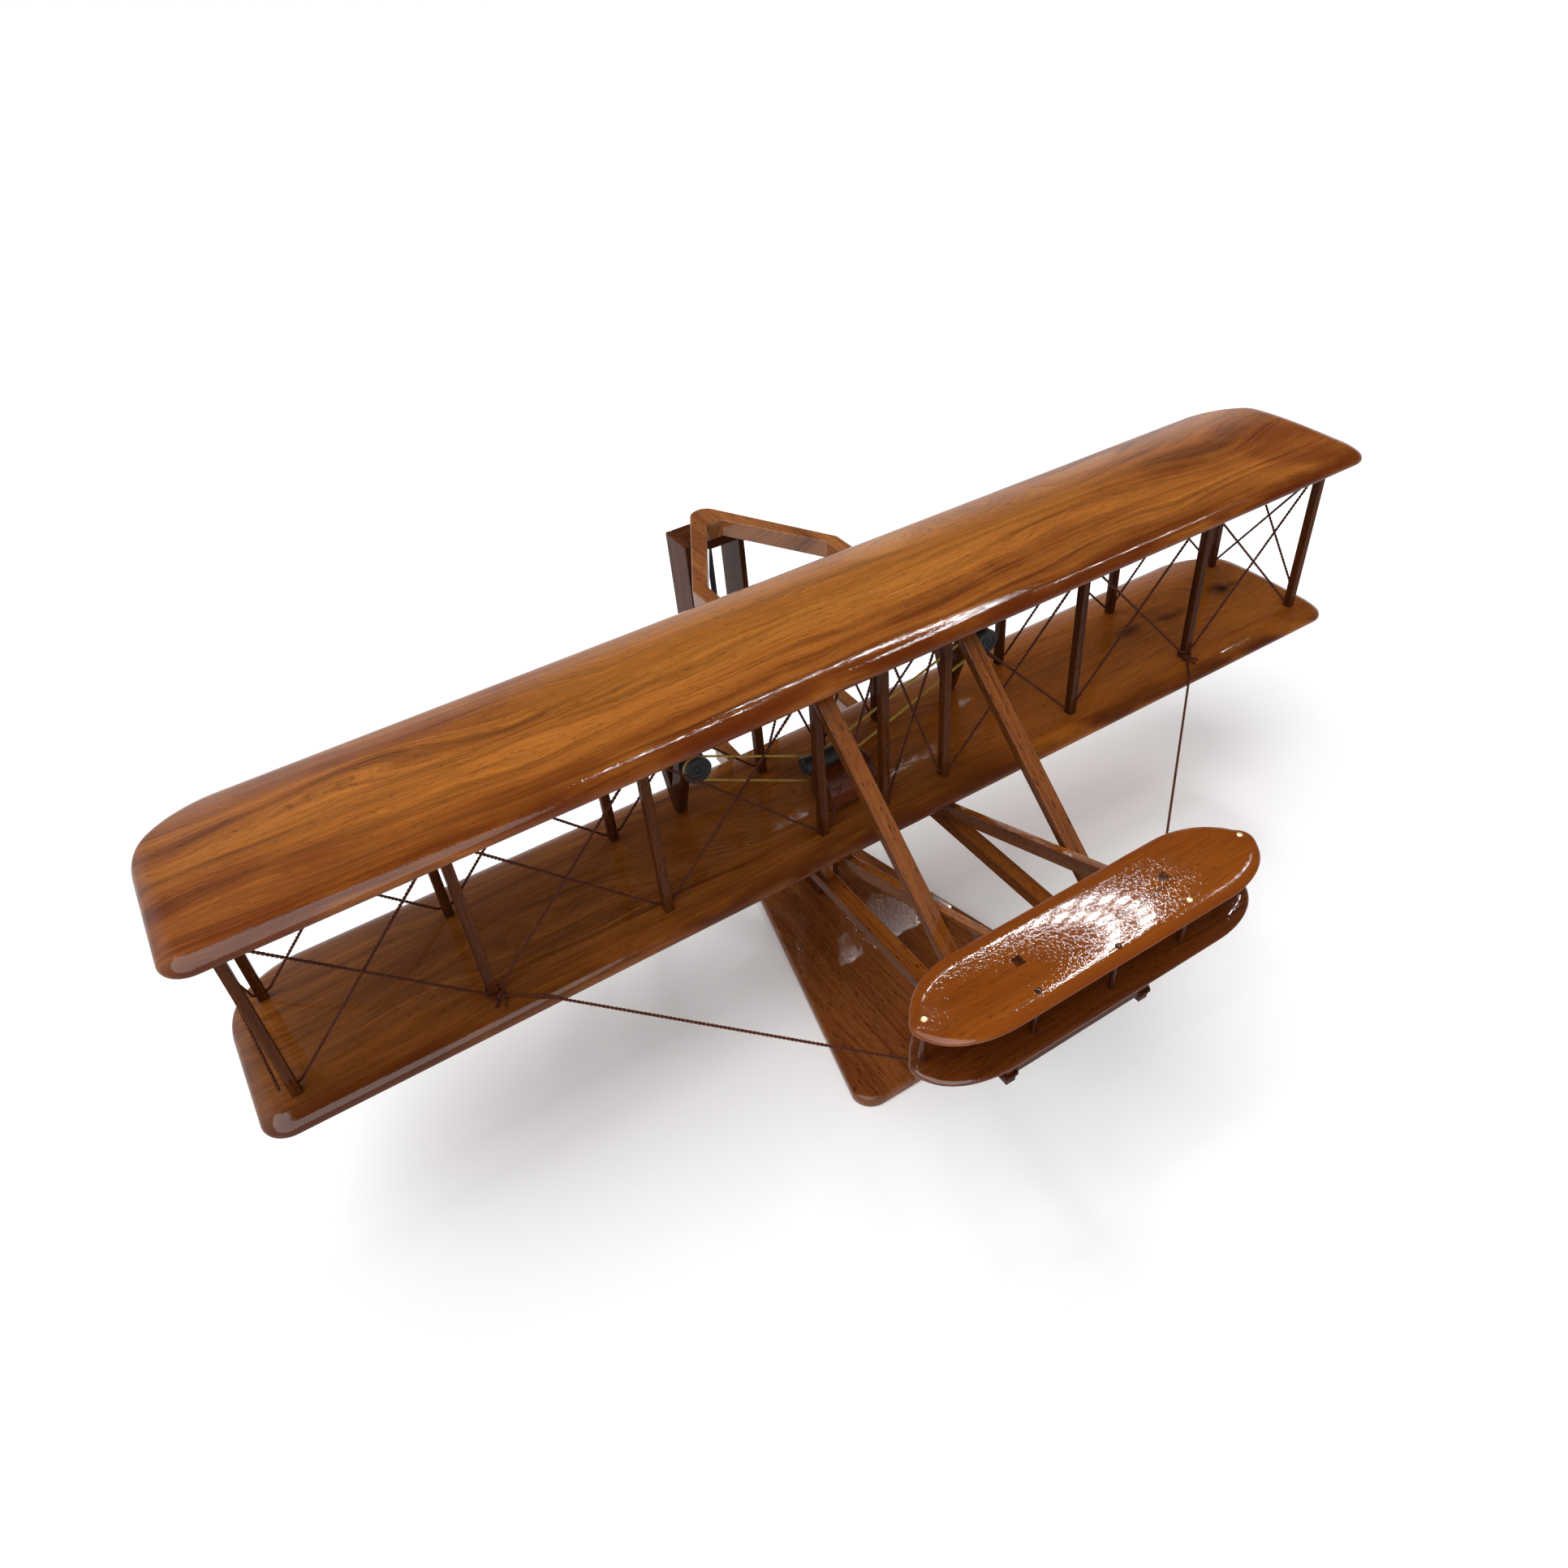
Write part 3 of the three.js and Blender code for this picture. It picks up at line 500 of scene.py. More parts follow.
def prism_bm(outline, axis, low, high, radius):
    """An outline in the plane across an axis, raised from low to high with rounded edges."""
    order = {"x": (2, 0, 1), "y": (0, 2, 1), "z": (0, 1, 2)}[axis]
    bm = bmesh.new()
    rings = []
    for level in (low, high):
        ring = []
        for u, v in outline:
            point = [0.0, 0.0, 0.0]
            flat = (u, v, level)
            for place, source in enumerate(order):
                point[place] = flat[source]
            ring.append(bm.verts.new(point))
        rings.append(ring)
    count = len(outline)
    bm.faces.new(rings[0])
    bm.faces.new(rings[1])
    for i in range(count):
        j = (i + 1) % count
        bm.faces.new((rings[0][i], rings[0][j], rings[1][j], rings[1][i]))
    bmesh.ops.recalc_face_normals(bm, faces=bm.faces)
    sharp = [e for e in bm.edges if e.calc_face_angle(0) > math.radians(25)]
    bmesh.ops.bevel(
        bm, geom=sharp, offset=radius, segments=3, profile=0.5, affect="EDGES", clamp_overlap=True
    )
    return bm


def rectangle(u0, u1, v0, v1):
    return [(u0, v0), (u1, v0), (u1, v1), (u0, v1)]


def turned_bm(profile, centre, axis="y", sides=48):
    """A profile of (radius, place along the axis) turned about the axis, in metres."""
    bm = bmesh.new()
    rings = []
    for radius, place in profile:
        if radius < 1e-7:
            rings.append([bm.verts.new(place_on(axis, centre, 0, 0, place))])
            continue
        ring = []
        for k in range(sides):
            angle = 2 * math.pi * k / sides
            u, v = radius * math.cos(angle), radius * math.sin(angle)
            ring.append(bm.verts.new(place_on(axis, centre, u, v, place)))
        rings.append(ring)
    bridge(bm, rings)
    bmesh.ops.recalc_face_normals(bm, faces=bm.faces)
    return bm


def place_on(axis, centre, u, v, place):
    x, y, z = centre
    if axis == "y":
        return (x + u, y + place, z + v)
    if axis == "x":
        return (x + place, y + u, z + v)
    return (x + u, y + v, z + place)


def join_bm(target, source):
    """Adds one bmesh's geometry to another."""
    mesh = bpy.data.meshes.new("part")
    source.to_mesh(mesh)
    source.free()
    target.from_mesh(mesh)
    bpy.data.meshes.remove(mesh)
    return target


# ---- planks with rounded edges


def plank(name, node, stations, front, rear, height, edges, base_z, look, seed, rim, edge_z):
    """A flat-bottomed plank. front(x) and rear(x) bound it, height(y) is its thickness, and edges
    gives how far the front, rear and tip roll reach. edge_z is the height of its outline."""
    roll_front, roll_rear, roll_tip = edges
    under_front, under_rear, under_tip = 1.6 * MM, 1.2 * MM, 1.6 * MM
    across = 56
    tip = stations[-1]

    def rolled(distance, reach):
        t = np.clip(distance / reach, 0, 1)
        return np.sqrt(np.maximum(0, 1 - (1 - t) ** 2))

    tops, bottoms = [], []
    for x in stations:
        y0, y1 = front(x), rear(x)
        share = (1 - np.cos(np.linspace(0, math.pi, across))) / 2
        y = y0 + (y1 - y0) * share
        half = 0.5 * (y1 - y0) + 1e-9
        from_tip = np.full_like(y, tip - abs(x))
        keep = (
            rolled(y - y0, min(roll_front, half))
            * rolled(y1 - y, min(roll_rear, half))
            * rolled(from_tip, roll_tip)
        )
        under = (
            rolled(y - y0, under_front) * rolled(y1 - y, under_rear) * rolled(from_tip, under_tip)
        )
        top = edge_z + (height(y) - edge_z) * keep
        bottom = edge_z * (1 - under)
        tops.append(np.column_stack([np.full_like(y, x), y, base_z + top]))
        bottoms.append(np.column_stack([np.full_like(y, x), y, base_z + bottom]))
    grid_top, grid_bottom = np.array(tops), np.array(bottoms)
    rows = len(stations)
    points = np.concatenate([grid_top.reshape(-1, 3), grid_bottom.reshape(-1, 3)])
    faces = []
    for i in range(rows - 1):
        for j in range(across - 1):
            a = i * across + j
            b = a + across
            faces.append((a, b, b + 1, a + 1))
            c, d = a + rows * across, b + rows * across
            faces.append((c, c + 1, d + 1, d))
    mesh = bpy.data.meshes.new(name)
    mesh.from_pydata(points.tolist(), [], faces)
    bm = bmesh.new()
    bm.from_mesh(mesh)
    bmesh.ops.remove_doubles(bm, verts=bm.verts, dist=2e-6)
    bmesh.ops.recalc_face_normals(bm, faces=bm.faces)
    bm.to_mesh(mesh)
    bm.free()
    finish_piece(mesh, name, node, "airframe", [look], (1, 0, 0), seed, rim)


def wing(name, node, base_z, look):
    front_round, rear_round = 10 * MM, 30 * MM

    def front(x):
        over = max(0.0, abs(x) - (TIP - front_round))
        return LEADING + front_round - math.sqrt(max(0, front_round**2 - over**2))

    def rear(x):
        over = max(0.0, abs(x) - (TIP - rear_round))
        return TRAILING - rear_round + math.sqrt(max(0, rear_round**2 - over**2))

    marks = [-37, -24, -12, 0, 12, 24, 36, 43.2]
    thick = [5.0, 5.4, 6.1, 6.4, 6.1, 5.4, 3.7, 2.1]
    fit = np.polynomial.Polynomial.fit(marks, thick, 4)

    def height(y):
        return fit(y / MM) * MM

    # How much of the rim's painted shade the rounded nose, tail and tips take.
    def rim(points):
        ahead_of = (points[:, 1] - LEADING) / MM
        nose = np.exp(-((ahead_of / 12.0) ** 2))
        tail = np.exp(-((TRAILING - points[:, 1]) / MM / 2.5) ** 2) * 0.6
        tips = np.exp(-(((TIP - np.abs(points[:, 0])) / MM / 5.0) ** 2)) * 0.8
        return np.clip(np.maximum(np.maximum(nose, tail), tips), 0, 1)

    end = 32 * MM
    inner = TIP - end
    outer = inner + end * np.sin(np.linspace(0, math.pi / 2, 34))
    middle = np.linspace(-inner, inner, 70)
    stations = np.concatenate([-outer[::-1][:-1], middle, outer[1:]])
    edges = (11 * MM, 3.5 * MM, 7 * MM)
    edge_z = 1.3 * MM
    plank(
        name, node, stations, front, rear, height, edges, base_z, look, 0, rim, edge_z
    )


wing("upper_wing_plank", "upper_wing", UPPER_UNDERSIDE, "upper")
wing("lower_wing_plank", "lower_wing", UNDERSIDE, "lower")


def bezier(p0, p1, p2, p3, count=24):
    t = np.linspace(0, 1, count)[:, None]
    p0, p1, p2, p3 = (np.array(p, float) for p in (p0, p1, p2, p3))
    return (1 - t) ** 3 * p0 + 3 * t * (1 - t) ** 2 * p1 + 3 * t * t * (1 - t) * p2 + t**3 * p3


def elevator_plane(name, node, look, seed):
    low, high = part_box(node)
    y_front, y_rear = low.y / MM, high.y / MM
    tip = high.x / MM - 0.1
    half = 44
    upper = np.concatenate(
        [
            [[-1, y_front]],
            bezier((half, y_front), (59, y_front), (68, -150), (tip - 1.8, -144)),
            bezier((tip - 1.8, -144), (tip - 0.4, -142), (tip, -140.6), (tip, -139))[1:],
        ]
    )
    lower = np.concatenate(
        [
            [[-1, y_rear]],
            bezier((half, y_rear), (57, y_rear), (66, -127.6), (tip - 3.2, -133.6)),
            bezier((tip - 3.2, -133.6), (tip - 1, -135.6), (tip, -137.4), (tip, -139))[1:],
        ]
    )

    def front(x):
        return np.interp(abs(x) / MM, upper[:, 0], upper[:, 1]) * MM

    def rear(x):
        return np.interp(abs(x) / MM, lower[:, 0], lower[:, 1]) * MM

    thick = high.z - low.z
    middle_y = (low.y + high.y) / 2

    def height(y):
        return thick * (1 - 0.16 * ((y - middle_y) / (17 * MM)) ** 2)

    # How much of the rim's painted shade the rounded front and rear edges and the tips take.
    def rim(points):
        from_edge = np.minimum(points[:, 1] - low.y, high.y - points[:, 1]) / MM
        tips = (tip * MM - np.abs(points[:, 0])) / MM
        return np.clip(np.exp(-((from_edge / 3.0) ** 2)) + np.exp(-((tips / 7.0) ** 2)), 0, 1)

    inner = 44 * MM
    outer = inner + (tip * MM - inner) * np.sin(np.linspace(0, math.pi / 2, 44))
    middle = np.linspace(-inner, inner, 40)
    stations = np.concatenate([-outer[::-1][:-1], middle, outer[1:]])
    edges = (5.5 * MM, 5.5 * MM, 2 * MM)
    edge_z = 0.9 * MM
    plank(
        name, node, stations, front, rear, height, edges, low.z, look, seed, rim, edge_z
    )


elevator_plane("elevator_upper_plank", "elevator_upper_plane", "elevator", 3)
elevator_plane("elevator_lower_plank", "elevator_lower_plane", "elevator_dark", 4)

# ---- struts, bars and other prisms


def block(name, node, look, slot, grain, seed, radius, body="airframe"):
    """A CAD box with rounded edges."""
    low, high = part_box(node)
    bm = prism_bm(rectangle(low.x, high.x, low.y, high.y), "z", low.z, high.z, radius)
    solid(bm, name, node, body, slot, [look], grain, seed)


def dark_block(name, node, grain, seed, radius, body="airframe"):
    block(name, node, "dark", "dark_wood", grain, seed, radius * MM, body)


SIDES = ((-1, "starboard"), (1, "port"))
ALONG_X, ALONG_Y, ALONG_Z = (1, 0, 0), (0, 1, 0), (0, 0, 1)

for first_seed, row in ((0, "front"), (20, "rear")):
    for i in range(1, 10):
        names = f"{row}_post_{i}", f"{row}_strut_{i}"
        block(*names, "strut", "strut_wood", ALONG_Z, first_seed + i, 0.35 * MM)

for k, (_, side) in enumerate(SIDES):
    dark_block(f"{side}_elevator_peg", f"{side}_elevator_post", ALONG_Z, 31 + k, 0.3)

dark_block("elevator_spreader", "elevator_crossbar", ALONG_X, 33, 0.5)
dark_block("stand_column", "display_stand", ALONG_Z, 34, 1.2)


def side_prism(name, node, outline, look, slot, grain, seed, radius=0.5 * MM):
    low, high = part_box(node)
    bm = prism_bm(outline, "x", low.x, high.x, radius)
    return solid(bm, name, node, "airframe", slot, look, grain, seed)


# The boom wood, and its darker copy that paints shade on the side faces.
BAR = ["bar", "bar_side"]

for k, (_, side) in enumerate(SIDES):
    low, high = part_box(f"{side}_upper_boom")
    run = 5.7 * MM
    rise = run * 0.908
    let_in = 0.6 * MM
    outline = [
        (high.y, high.z + let_in),
        (low.y, low.z),
        (low.y + run, low.z),
        (high.y, high.z - rise),
    ]
    names = f"{side}_upper_bar", f"{side}_upper_boom"
    grain = (0, high.y - low.y, high.z - low.z)
    sides_in_painted_shade(side_prism(*names, outline, BAR, "bar_wood", grain, 41 + k))

    low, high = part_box(f"{side}_middle_boom")
    deep = 6.7 * MM
    outline = [
        (low.y, high.z),
        (low.y, high.z - deep),
        (high.y, low.z),
        (high.y, low.z + deep),
    ]
    names = f"{side}_middle_bar", f"{side}_middle_boom"
    grain = (0, high.y - low.y, low.z + deep - high.z)
    sides_in_painted_shade(side_prism(*names, outline, BAR, "bar_wood", grain, 43 + k))

    low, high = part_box(f"{side}_skid")
    rail_top = low.z + 5.6 * MM
    centre = (low.x + high.x) / 2
    half = 2 * MM
    bm = prism_bm(rectangle(low.x, high.x, low.y, high.y), "z", low.z, rail_top, 0.5 * MM)
    for y in (-ROW_Y, ROW_Y):
        outline = rectangle(centre - half, centre + half, y - half, y + half)
        join_bm(bm, prism_bm(outline, "z", rail_top - 0.4 * MM, high.z + 0.3 * MM, 0.35 * MM))
    names = f"{side}_skid_rail", f"{side}_skid"
    sides_in_painted_shade(solid(bm, *names, "airframe", "bar_wood", BAR, ALONG_Y, 45 + k))


def arc(cx, cy, radius, start, end, steps=10):
    made = []
    for k in range(steps + 1):
        angle = start + (end - start) * k / steps
        made.append((cx + radius * math.cos(angle), cy + radius * math.sin(angle)))
    return made


def tail_frame(name, node, seed):
    low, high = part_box(node)
    half, bar_wide, shoulder, end_radius = 35 * MM, 6.5 * MM, 57 * MM, 6.5 * MM
    inner = half - bar_wide
    inner_shoulder = shoulder - 1 * MM
    notch_x, notch_y = 3.6 * MM, 101.2 * MM
    lean = math.atan2(PIVOT_Y - shoulder, half - end_radius)
    outline = [(inner, low.y), (half, low.y), (half, shoulder)]
    outline += arc(0, PIVOT_Y, end_radius, math.pi / 2 - lean, math.pi / 2 + lean, 10)
    outline += [(-half, shoulder), (-half, low.y), (-inner, low.y), (-inner, inner_shoulder)]
    outline += [(-notch_x, notch_y), (notch_x, notch_y), (inner, inner_shoulder)]
    bm = prism_bm(outline, "z", low.z, high.z, 0.5 * MM)
    solid(bm, name, node, "airframe", "bar_wood", ["frame"], ALONG_Y, seed)


tail_frame("upper_tail_outrigger", "upper_tail_frame", 51)
tail_frame("lower_tail_outrigger", "lower_tail_frame", 52)

for k, (_, side) in enumerate(SIDES):
    names = f"{side}_rudder_panel", f"{side}_rudder_blade"
    dark_block(*names, ALONG_Z, 53 + k, 0.5, "rudder")
for k, level in enumerate(("top", "bottom")):
    names = f"rudder_{level}_board", f"rudder_{level}_plate"
    dark_block(*names, ALONG_X, 55 + k, 0.5, "rudder")

low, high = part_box("rudder_pin")
radius = (high.x - low.x) / 2
profile = [(0, low.z), (radius * 0.8, low.z), (radius, low.z + 0.3 * MM)]
profile += [(radius, high.z - 0.3 * MM), (radius * 0.8, high.z), (0, high.z)]
mesh = mesh_of(turned_bm(profile, (0, PIVOT_Y, 0), "z", 24), "rudder_pivot_pin")
finish_piece(mesh, "rudder_pivot_pin", "rudder_pin", "airframe", ["black"])

# ---- base board


def base_board():
    low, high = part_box("base_board")
    lean, corner, taper, half_wide = 1.6 * MM, 9 * MM, 0.205, 37.3 * MM

    def ring(spread, z):
        front, rear = low.y + lean - spread, high.y - lean + spread
        wide = (half_wide - taper * (low.y + lean)) + spread
        narrow = (half_wide - taper * (high.y - lean)) + spread
        corners = ((wide, front), (narrow, rear), (-narrow, rear), (-wide, front))
        points = []
        for quarter, (cx, cy) in enumerate(corners):
            start = 90 * quarter - 90
            middle_x = cx - math.copysign(corner, cx)
            middle_y = cy + (corner if cy < 0 else -corner)
            for x, y in arc(
                middle_x, middle_y, corner, math.radians(start), math.radians(start + 90), 12
            ):
                points.append((x, y, z))
        return points

    levels = [(lean * 0.7, 0), (lean, 0.4 * MM)]
    levels += arc(0, high.z - lean, lean, 0, math.pi / 2, 6)
    bm = bmesh.new()
    rings = [[bm.verts.new(p) for p in ring(*level)] for level in levels]
    bridge(bm, rings)
    bm.faces.new(rings[0][::-1])
    bm.faces.new(rings[-1])
    bmesh.ops.recalc_face_normals(bm, faces=bm.faces)
    look = ["base"]
    solid(bm, "base_plinth", "base_board", "airframe", "base_wood", look, ALONG_Y, 0, 60)


base_board()

# ---- elevator pins

STEM_RADIUS, HEAD_RADIUS, HEAD_LONG = 1.0 * MM, 1.15 * MM, 1.6 * MM
PINS = {
    "starboard_tip": "brass",
    "starboard_front": "dark",
    "centre_front": "dark",
    "port_front": "brass",
    "port_tip": "brass",
}
for k, (label, head_look) in enumerate(PINS.items()):
    low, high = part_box(f"elevator_rod_{label}")
    centre = ((low.x + high.x) / 2, (low.y + high.y) / 2, 0)
    neck = high.z - HEAD_LONG
    stem = [(0, low.z), (STEM_RADIUS, low.z), (STEM_RADIUS, neck), (0, neck)]
    bm = turned_bm(stem, centre, "z", 20)
    stem_faces = len(bm.faces)
    head = [(0, neck), (HEAD_RADIUS, neck), (HEAD_RADIUS, high.z), (0, high.z)]
    join_bm(bm, turned_bm(rounded(head, 0.25 * MM), centre, "z", 28))
    names = f"elevator_pin_{label}", f"elevator_rod_{label}"
    looks = ["dark", head_look]
    piece = solid(bm, *names, "airframe", "brass", looks, ALONG_Z, 60 + k, 40)
    for index, face in enumerate(piece.data.polygons):
        face.material_index = 0 if index < stem_faces else 1

# ---- engine and rotors


def turned_from(origin, *marks):
    """Profile points from (radius, place) pairs in millimetres; origin is where place is 0."""
    return [(radius * MM, origin + place * MM) for radius, place in marks]


def engine():
    low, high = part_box("engine_block")
    rear, front, head = high.y, low.y, high.z
    chamfer, head_round, foot_round, let_in = 1.5 * MM, 8 * MM, 4 * MM, 0.8 * MM
    foot = low.z - let_in
    outline = [(rear, foot), (rear, head - chamfer), (rear - chamfer, head)]
    quarter = math.pi / 2
    outline += arc(front + head_round, head - head_round, head_round, quarter, math.pi, 8)
    outline += arc(front + foot_round, foot + foot_round, foot_round, math.pi, 3 * quarter, 5)
    names = "engine_body", "engine_block"
    side_prism(*names, outline, ["engine"], "dark_wood", ALONG_X, 71, 1.1 * MM)

    low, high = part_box("engine_cylinder")
    centre = (0, (low.y + high.y) / 2, (low.z + high.z) / 2)
    marks = [(0, 0.5), (1.5, 0.5), (1.5, 0), (2.2, 0), (2.2, 0.35), (3.1, 0.35), (3.1, 0), (4, 0)]
    marks += [(4, 1.6), (3.195, 1.6), (3.195, 2.6)]
    fin, neck = 3.55, 3.337
    for k in range(7):
        start = 2.6 + 2.9 * k
        marks += [(fin, start), (fin, start + 2.3), (neck, start + 2.3), (neck, start + 2.9)]
    profile = turned_from(low.x, *marks)
    profile += turned_from(high.x, (fin, -0.4), (2.84, 0), (0, 0))
    bm = turned_bm(rounded(profile, 0.2 * MM), centre, "x", 40)
    solid(bm, "engine_tank", "engine_cylinder", "airframe", "black", ["black"], angle=40)


engine()


def bracket(label, seed):
    node = f"{label}_shaft_bracket"
    low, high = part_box(node)
    middle = (low.y + high.y) / 2
    spread = (high.y - low.y) / 2
    let_in, half_foot, arm, crotch = 0.4 * MM, 2.4 * MM, 7 * MM, 12.6 * MM
    foot = low.z - let_in
    outline = [
        (middle - half_foot, foot),
        (middle + half_foot, foot),
        (middle + spread, high.z),
        (middle + spread - arm, high.z),
        (middle, low.z + crotch),
        (middle - spread + arm, high.z),
        (middle - spread, high.z),
    ]
    side_prism(f"{label}_shaft_fork", node, outline, ["strut"], "strut_wood", ALONG_Z, seed)


def drum(side, label):
    low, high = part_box(f"{label}_shaft_drum")
    groove, flange, shaft = 4.4, 5.6, 1.0
    marks = [(0, 0.7), (1.2, 0.7), (1.2, 0.2), (2, 0.2), (2, 0.6), (3.4, 0.6), (3.4, 0.25)]
    marks += [(4.2, 0.25), (4.2, 0), (flange, 0), (flange, 1.6), (groove, 1.6)]
    profile = turned_from(low.y, *marks)
    profile += turned_from(0, (groove, 4), (flange, 4), (flange, 4.8), (shaft, 4.8))
    profile += turned_from(high.y, (shaft, -0.2), (0, 0))
    bm = turned_bm(rounded(profile, 0.22 * MM), (side * SHAFT_X, 0, SHAFT_Z), "y", 44)
    names = f"{label}_drum_and_shaft", f"{label}_shaft_drum"
    solid(bm, *names, f"{label}_rotor", "black", ["black"], angle=40)


def propeller(side, label, seed):
    """Two carved blades that twist towards their tips, on a rounded hub."""
    low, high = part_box(f"{label}_propeller")
    middle = (low.y + high.y) / 2
    x0 = side * SHAFT_X
    reach = (high.x - low.x) / 2 - 0.2 * MM
    root, hub, hub_half = 2.2 * MM, 3.4 * MM, (high.y - low.y) / 2
    bm = bmesh.new()
    around, steps = 20, 30
    for way in (1, -1):
        rings = []
        for step in range(steps + 1):
            r = root + (reach - root) * (1 - (1 - step / steps) ** 1.35)
            share = r / reach
            chord = (3.4 + 6.2 * math.sin(math.pi * min(1, share * 0.78) ** 1.1)) * MM
            if share > 0.8:
                chord *= math.sqrt(max(0, 1 - ((share - 0.8) / 0.2) ** 2.4)) * 0.98 + 0.02
            thick = (2.9 * (1 - share) ** 1.4 + 0.9) * MM * (1 if share < 0.96 else 0.5)
            pitch = side * math.radians(52 * (1 - share) ** 1.1 + 17)
            ring = []
            for k in range(around):
                angle = 2 * math.pi * k / around
                u = 0.5 * chord * math.cos(angle) - 0.1 * chord * share
                v = 0.5 * thick * math.sin(angle) * (1.1 - 0.35 * math.cos(angle))
                y = u * math.sin(pitch) + v * math.cos(pitch)
                z = u * math.cos(pitch) - v * math.sin(pitch)
                ring.append(bm.verts.new((x0 + way * r, middle + y, SHAFT_Z + way * z)))
            rings.append(ring)
        bridge(bm, rings)
        bm.faces.new(rings[0])
        bm.faces.new(rings[-1])
    bulge = hub * 1.06
    profile = [(0, -hub_half), (hub, -hub_half), (bulge, 0), (hub, hub_half), (0, hub_half)]
    profile = rounded(profile, 0.8 * MM, 4)
    join_bm(bm, turned_bm(profile, (x0, middle, SHAFT_Z), "y", 36))
    bmesh.ops.recalc_face_normals(bm, faces=bm.faces)
    names = f"{label}_airscrew", f"{label}_propeller"
    look = ["propeller"]
    solid(bm, *names, f"{label}_rotor", "propeller_wood", look, ALONG_X, seed, 60)


def crank():
    low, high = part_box("crank_pulley")
    flange, groove, hub = 6.6, 5.3, 4.6
    marks = [(0, 0), (2, 0), (2, 1.4), (hub, 1.4), (hub, 1.1), (flange, 1.1), (flange, 2.3)]
    profile = turned_from(low.y, *marks, (groove, 2.3))
    profile += turned_from(high.y, (groove, -0.9), (flange, -0.9), (flange, 0), (0, 0))
    bm = turned_bm(rounded(profile, 0.25 * MM), (CRANK_X, 0, CRANK_Z), "y", 48)
    solid(bm, "crank_wheel", "crank_pulley", "crank", "black", ["black"], angle=40)


for k, (side, label) in enumerate(SIDES):
    bracket(label, 73 + k)
    drum(side, label)
    propeller(side, label, 75 + k)
crank()

# ---- threads and chains


def resample(points, step):
    points = np.array(points, float)
    lengths = np.linalg.norm(np.diff(points, axis=0), axis=1)
    total = np.concatenate([[0], np.cumsum(lengths)])
    count = max(2, int(round(total[-1] / step)) + 1)
    at = np.linspace(0, total[-1], count)
    return np.column_stack([np.interp(at, total, points[:, k]) for k in range(3)]), at


def eased(route, radius):
    return rounded(route, radius, 5, 0.4)


def frames(path):
    """Directions across a path, which turn as little as possible along it."""
    tangent = np.gradient(path, axis=0)
    tangent /= np.linalg.norm(tangent, axis=1)[:, None]
    normal = np.empty_like(path)
    guide = np.array((0, 0, 1.0)) if abs(tangent[0][2]) < 0.8 else np.array((0, 1.0, 0))
    now = unit(np.cross(tangent[0], guide))
    for i, t in enumerate(tangent):
        now = now - t * (now @ t)
        now = unit(now)
        normal[i] = now
    return normal, np.cross(tangent, normal)


def tube(path, radius, sides, points, faces, closed=False):
    normal, other = frames(path)
    start = len(points)
    for i, p in enumerate(path):
        for k in range(sides):
            angle = 2 * math.pi * k / sides
            points.append(p + radius * (math.cos(angle) * normal[i] + math.sin(angle) * other[i]))
    rows = len(path)
    for i in range(rows if closed else rows - 1):
        for k in range(sides):
            m = (k + 1) % sides
            a, b = start + i * sides, start + ((i + 1) % rows) * sides
            faces.append((a + k, a + m, b + m, b + k))
    if not closed:
        faces.append(tuple(range(start + sides - 1, start - 1, -1)))
        end = start + (rows - 1) * sides
        faces.append(tuple(range(end, end + sides)))


THREAD = 0.62 * MM
WRAPPED = 0.48 * MM


def twisted(route, points, faces, thick=THREAD, step=0.42 * MM, fray=0.0):
    """Two strands laid round each other along a route. thick is the whole thread's radius, and
    fray opens the strands towards the route's end."""
    pitch = 3.0 * MM
    path, at = resample(route, step)
    normal, other = frames(path)
    strand = thick * 0.56
    orbit = thick - strand
    for k in (0, 1):
        angle = 2 * math.pi * at / pitch + math.pi * k
        spread = orbit * (1 + fray * (at / at[-1]) ** 2)
        offset = np.cos(angle)[:, None] * normal + np.sin(angle)[:, None] * other
        tube(path + offset * spread[:, None], strand, 6, points, faces)


def thread_piece(name, node, points, faces, look="thread"):
    mesh = bpy.data.meshes.new(name)
    mesh.from_pydata([tuple(p) for p in points], [], faces)
    return finish_piece(mesh, name, node, "airframe", [look])


def laces():
    """Two threads that zigzag round all struts and wrap past each strut close to a wing."""
    from_wing = 3.2 * MM
    high_z, low_z = UPPER_UNDERSIDE - from_wing, WING_TOP + from_wing
    reach = 2.7 * MM
    last = len(STATIONS) - 1
    for lace in (1, 2):
        route = []
        outside = STATIONS[-1] + reach + (0 if lace == 1 else 1.6 * MM)
        offset = -0.75 * MM if lace == 1 else 0.75 * MM

        def level(row, i):
            return high_z if (i + lace + (1 if row > 0 else 0)) % 2 == 1 else low_z

        for i in range(last + 1):
            x, y, z = STATIONS[i], -ROW_Y + offset, level(-1, i)
            route += [[x - reach, y, z], [x + reach, y, z]]
        route[0][0] = STATIONS[0] - 1.5 * MM
        route[-1][0] = outside
        turn_at = len(route)
        for i in range(last, -1, -1):
            x, y, z = STATIONS[i], ROW_Y + offset, level(1, i)
            route += [[x + reach, y, z], [x - reach, y, z]]
        route[turn_at][0] = outside
        route[-1][0] = -outside
        route.append([-outside, -ROW_Y + offset, level(-1, 0)])
        points, faces = [], []
        twisted(eased(route, 1.6 * MM), points, faces)
        thread_piece(f"lace_{lace}", f"rigging_lace_{lace}", points, faces)


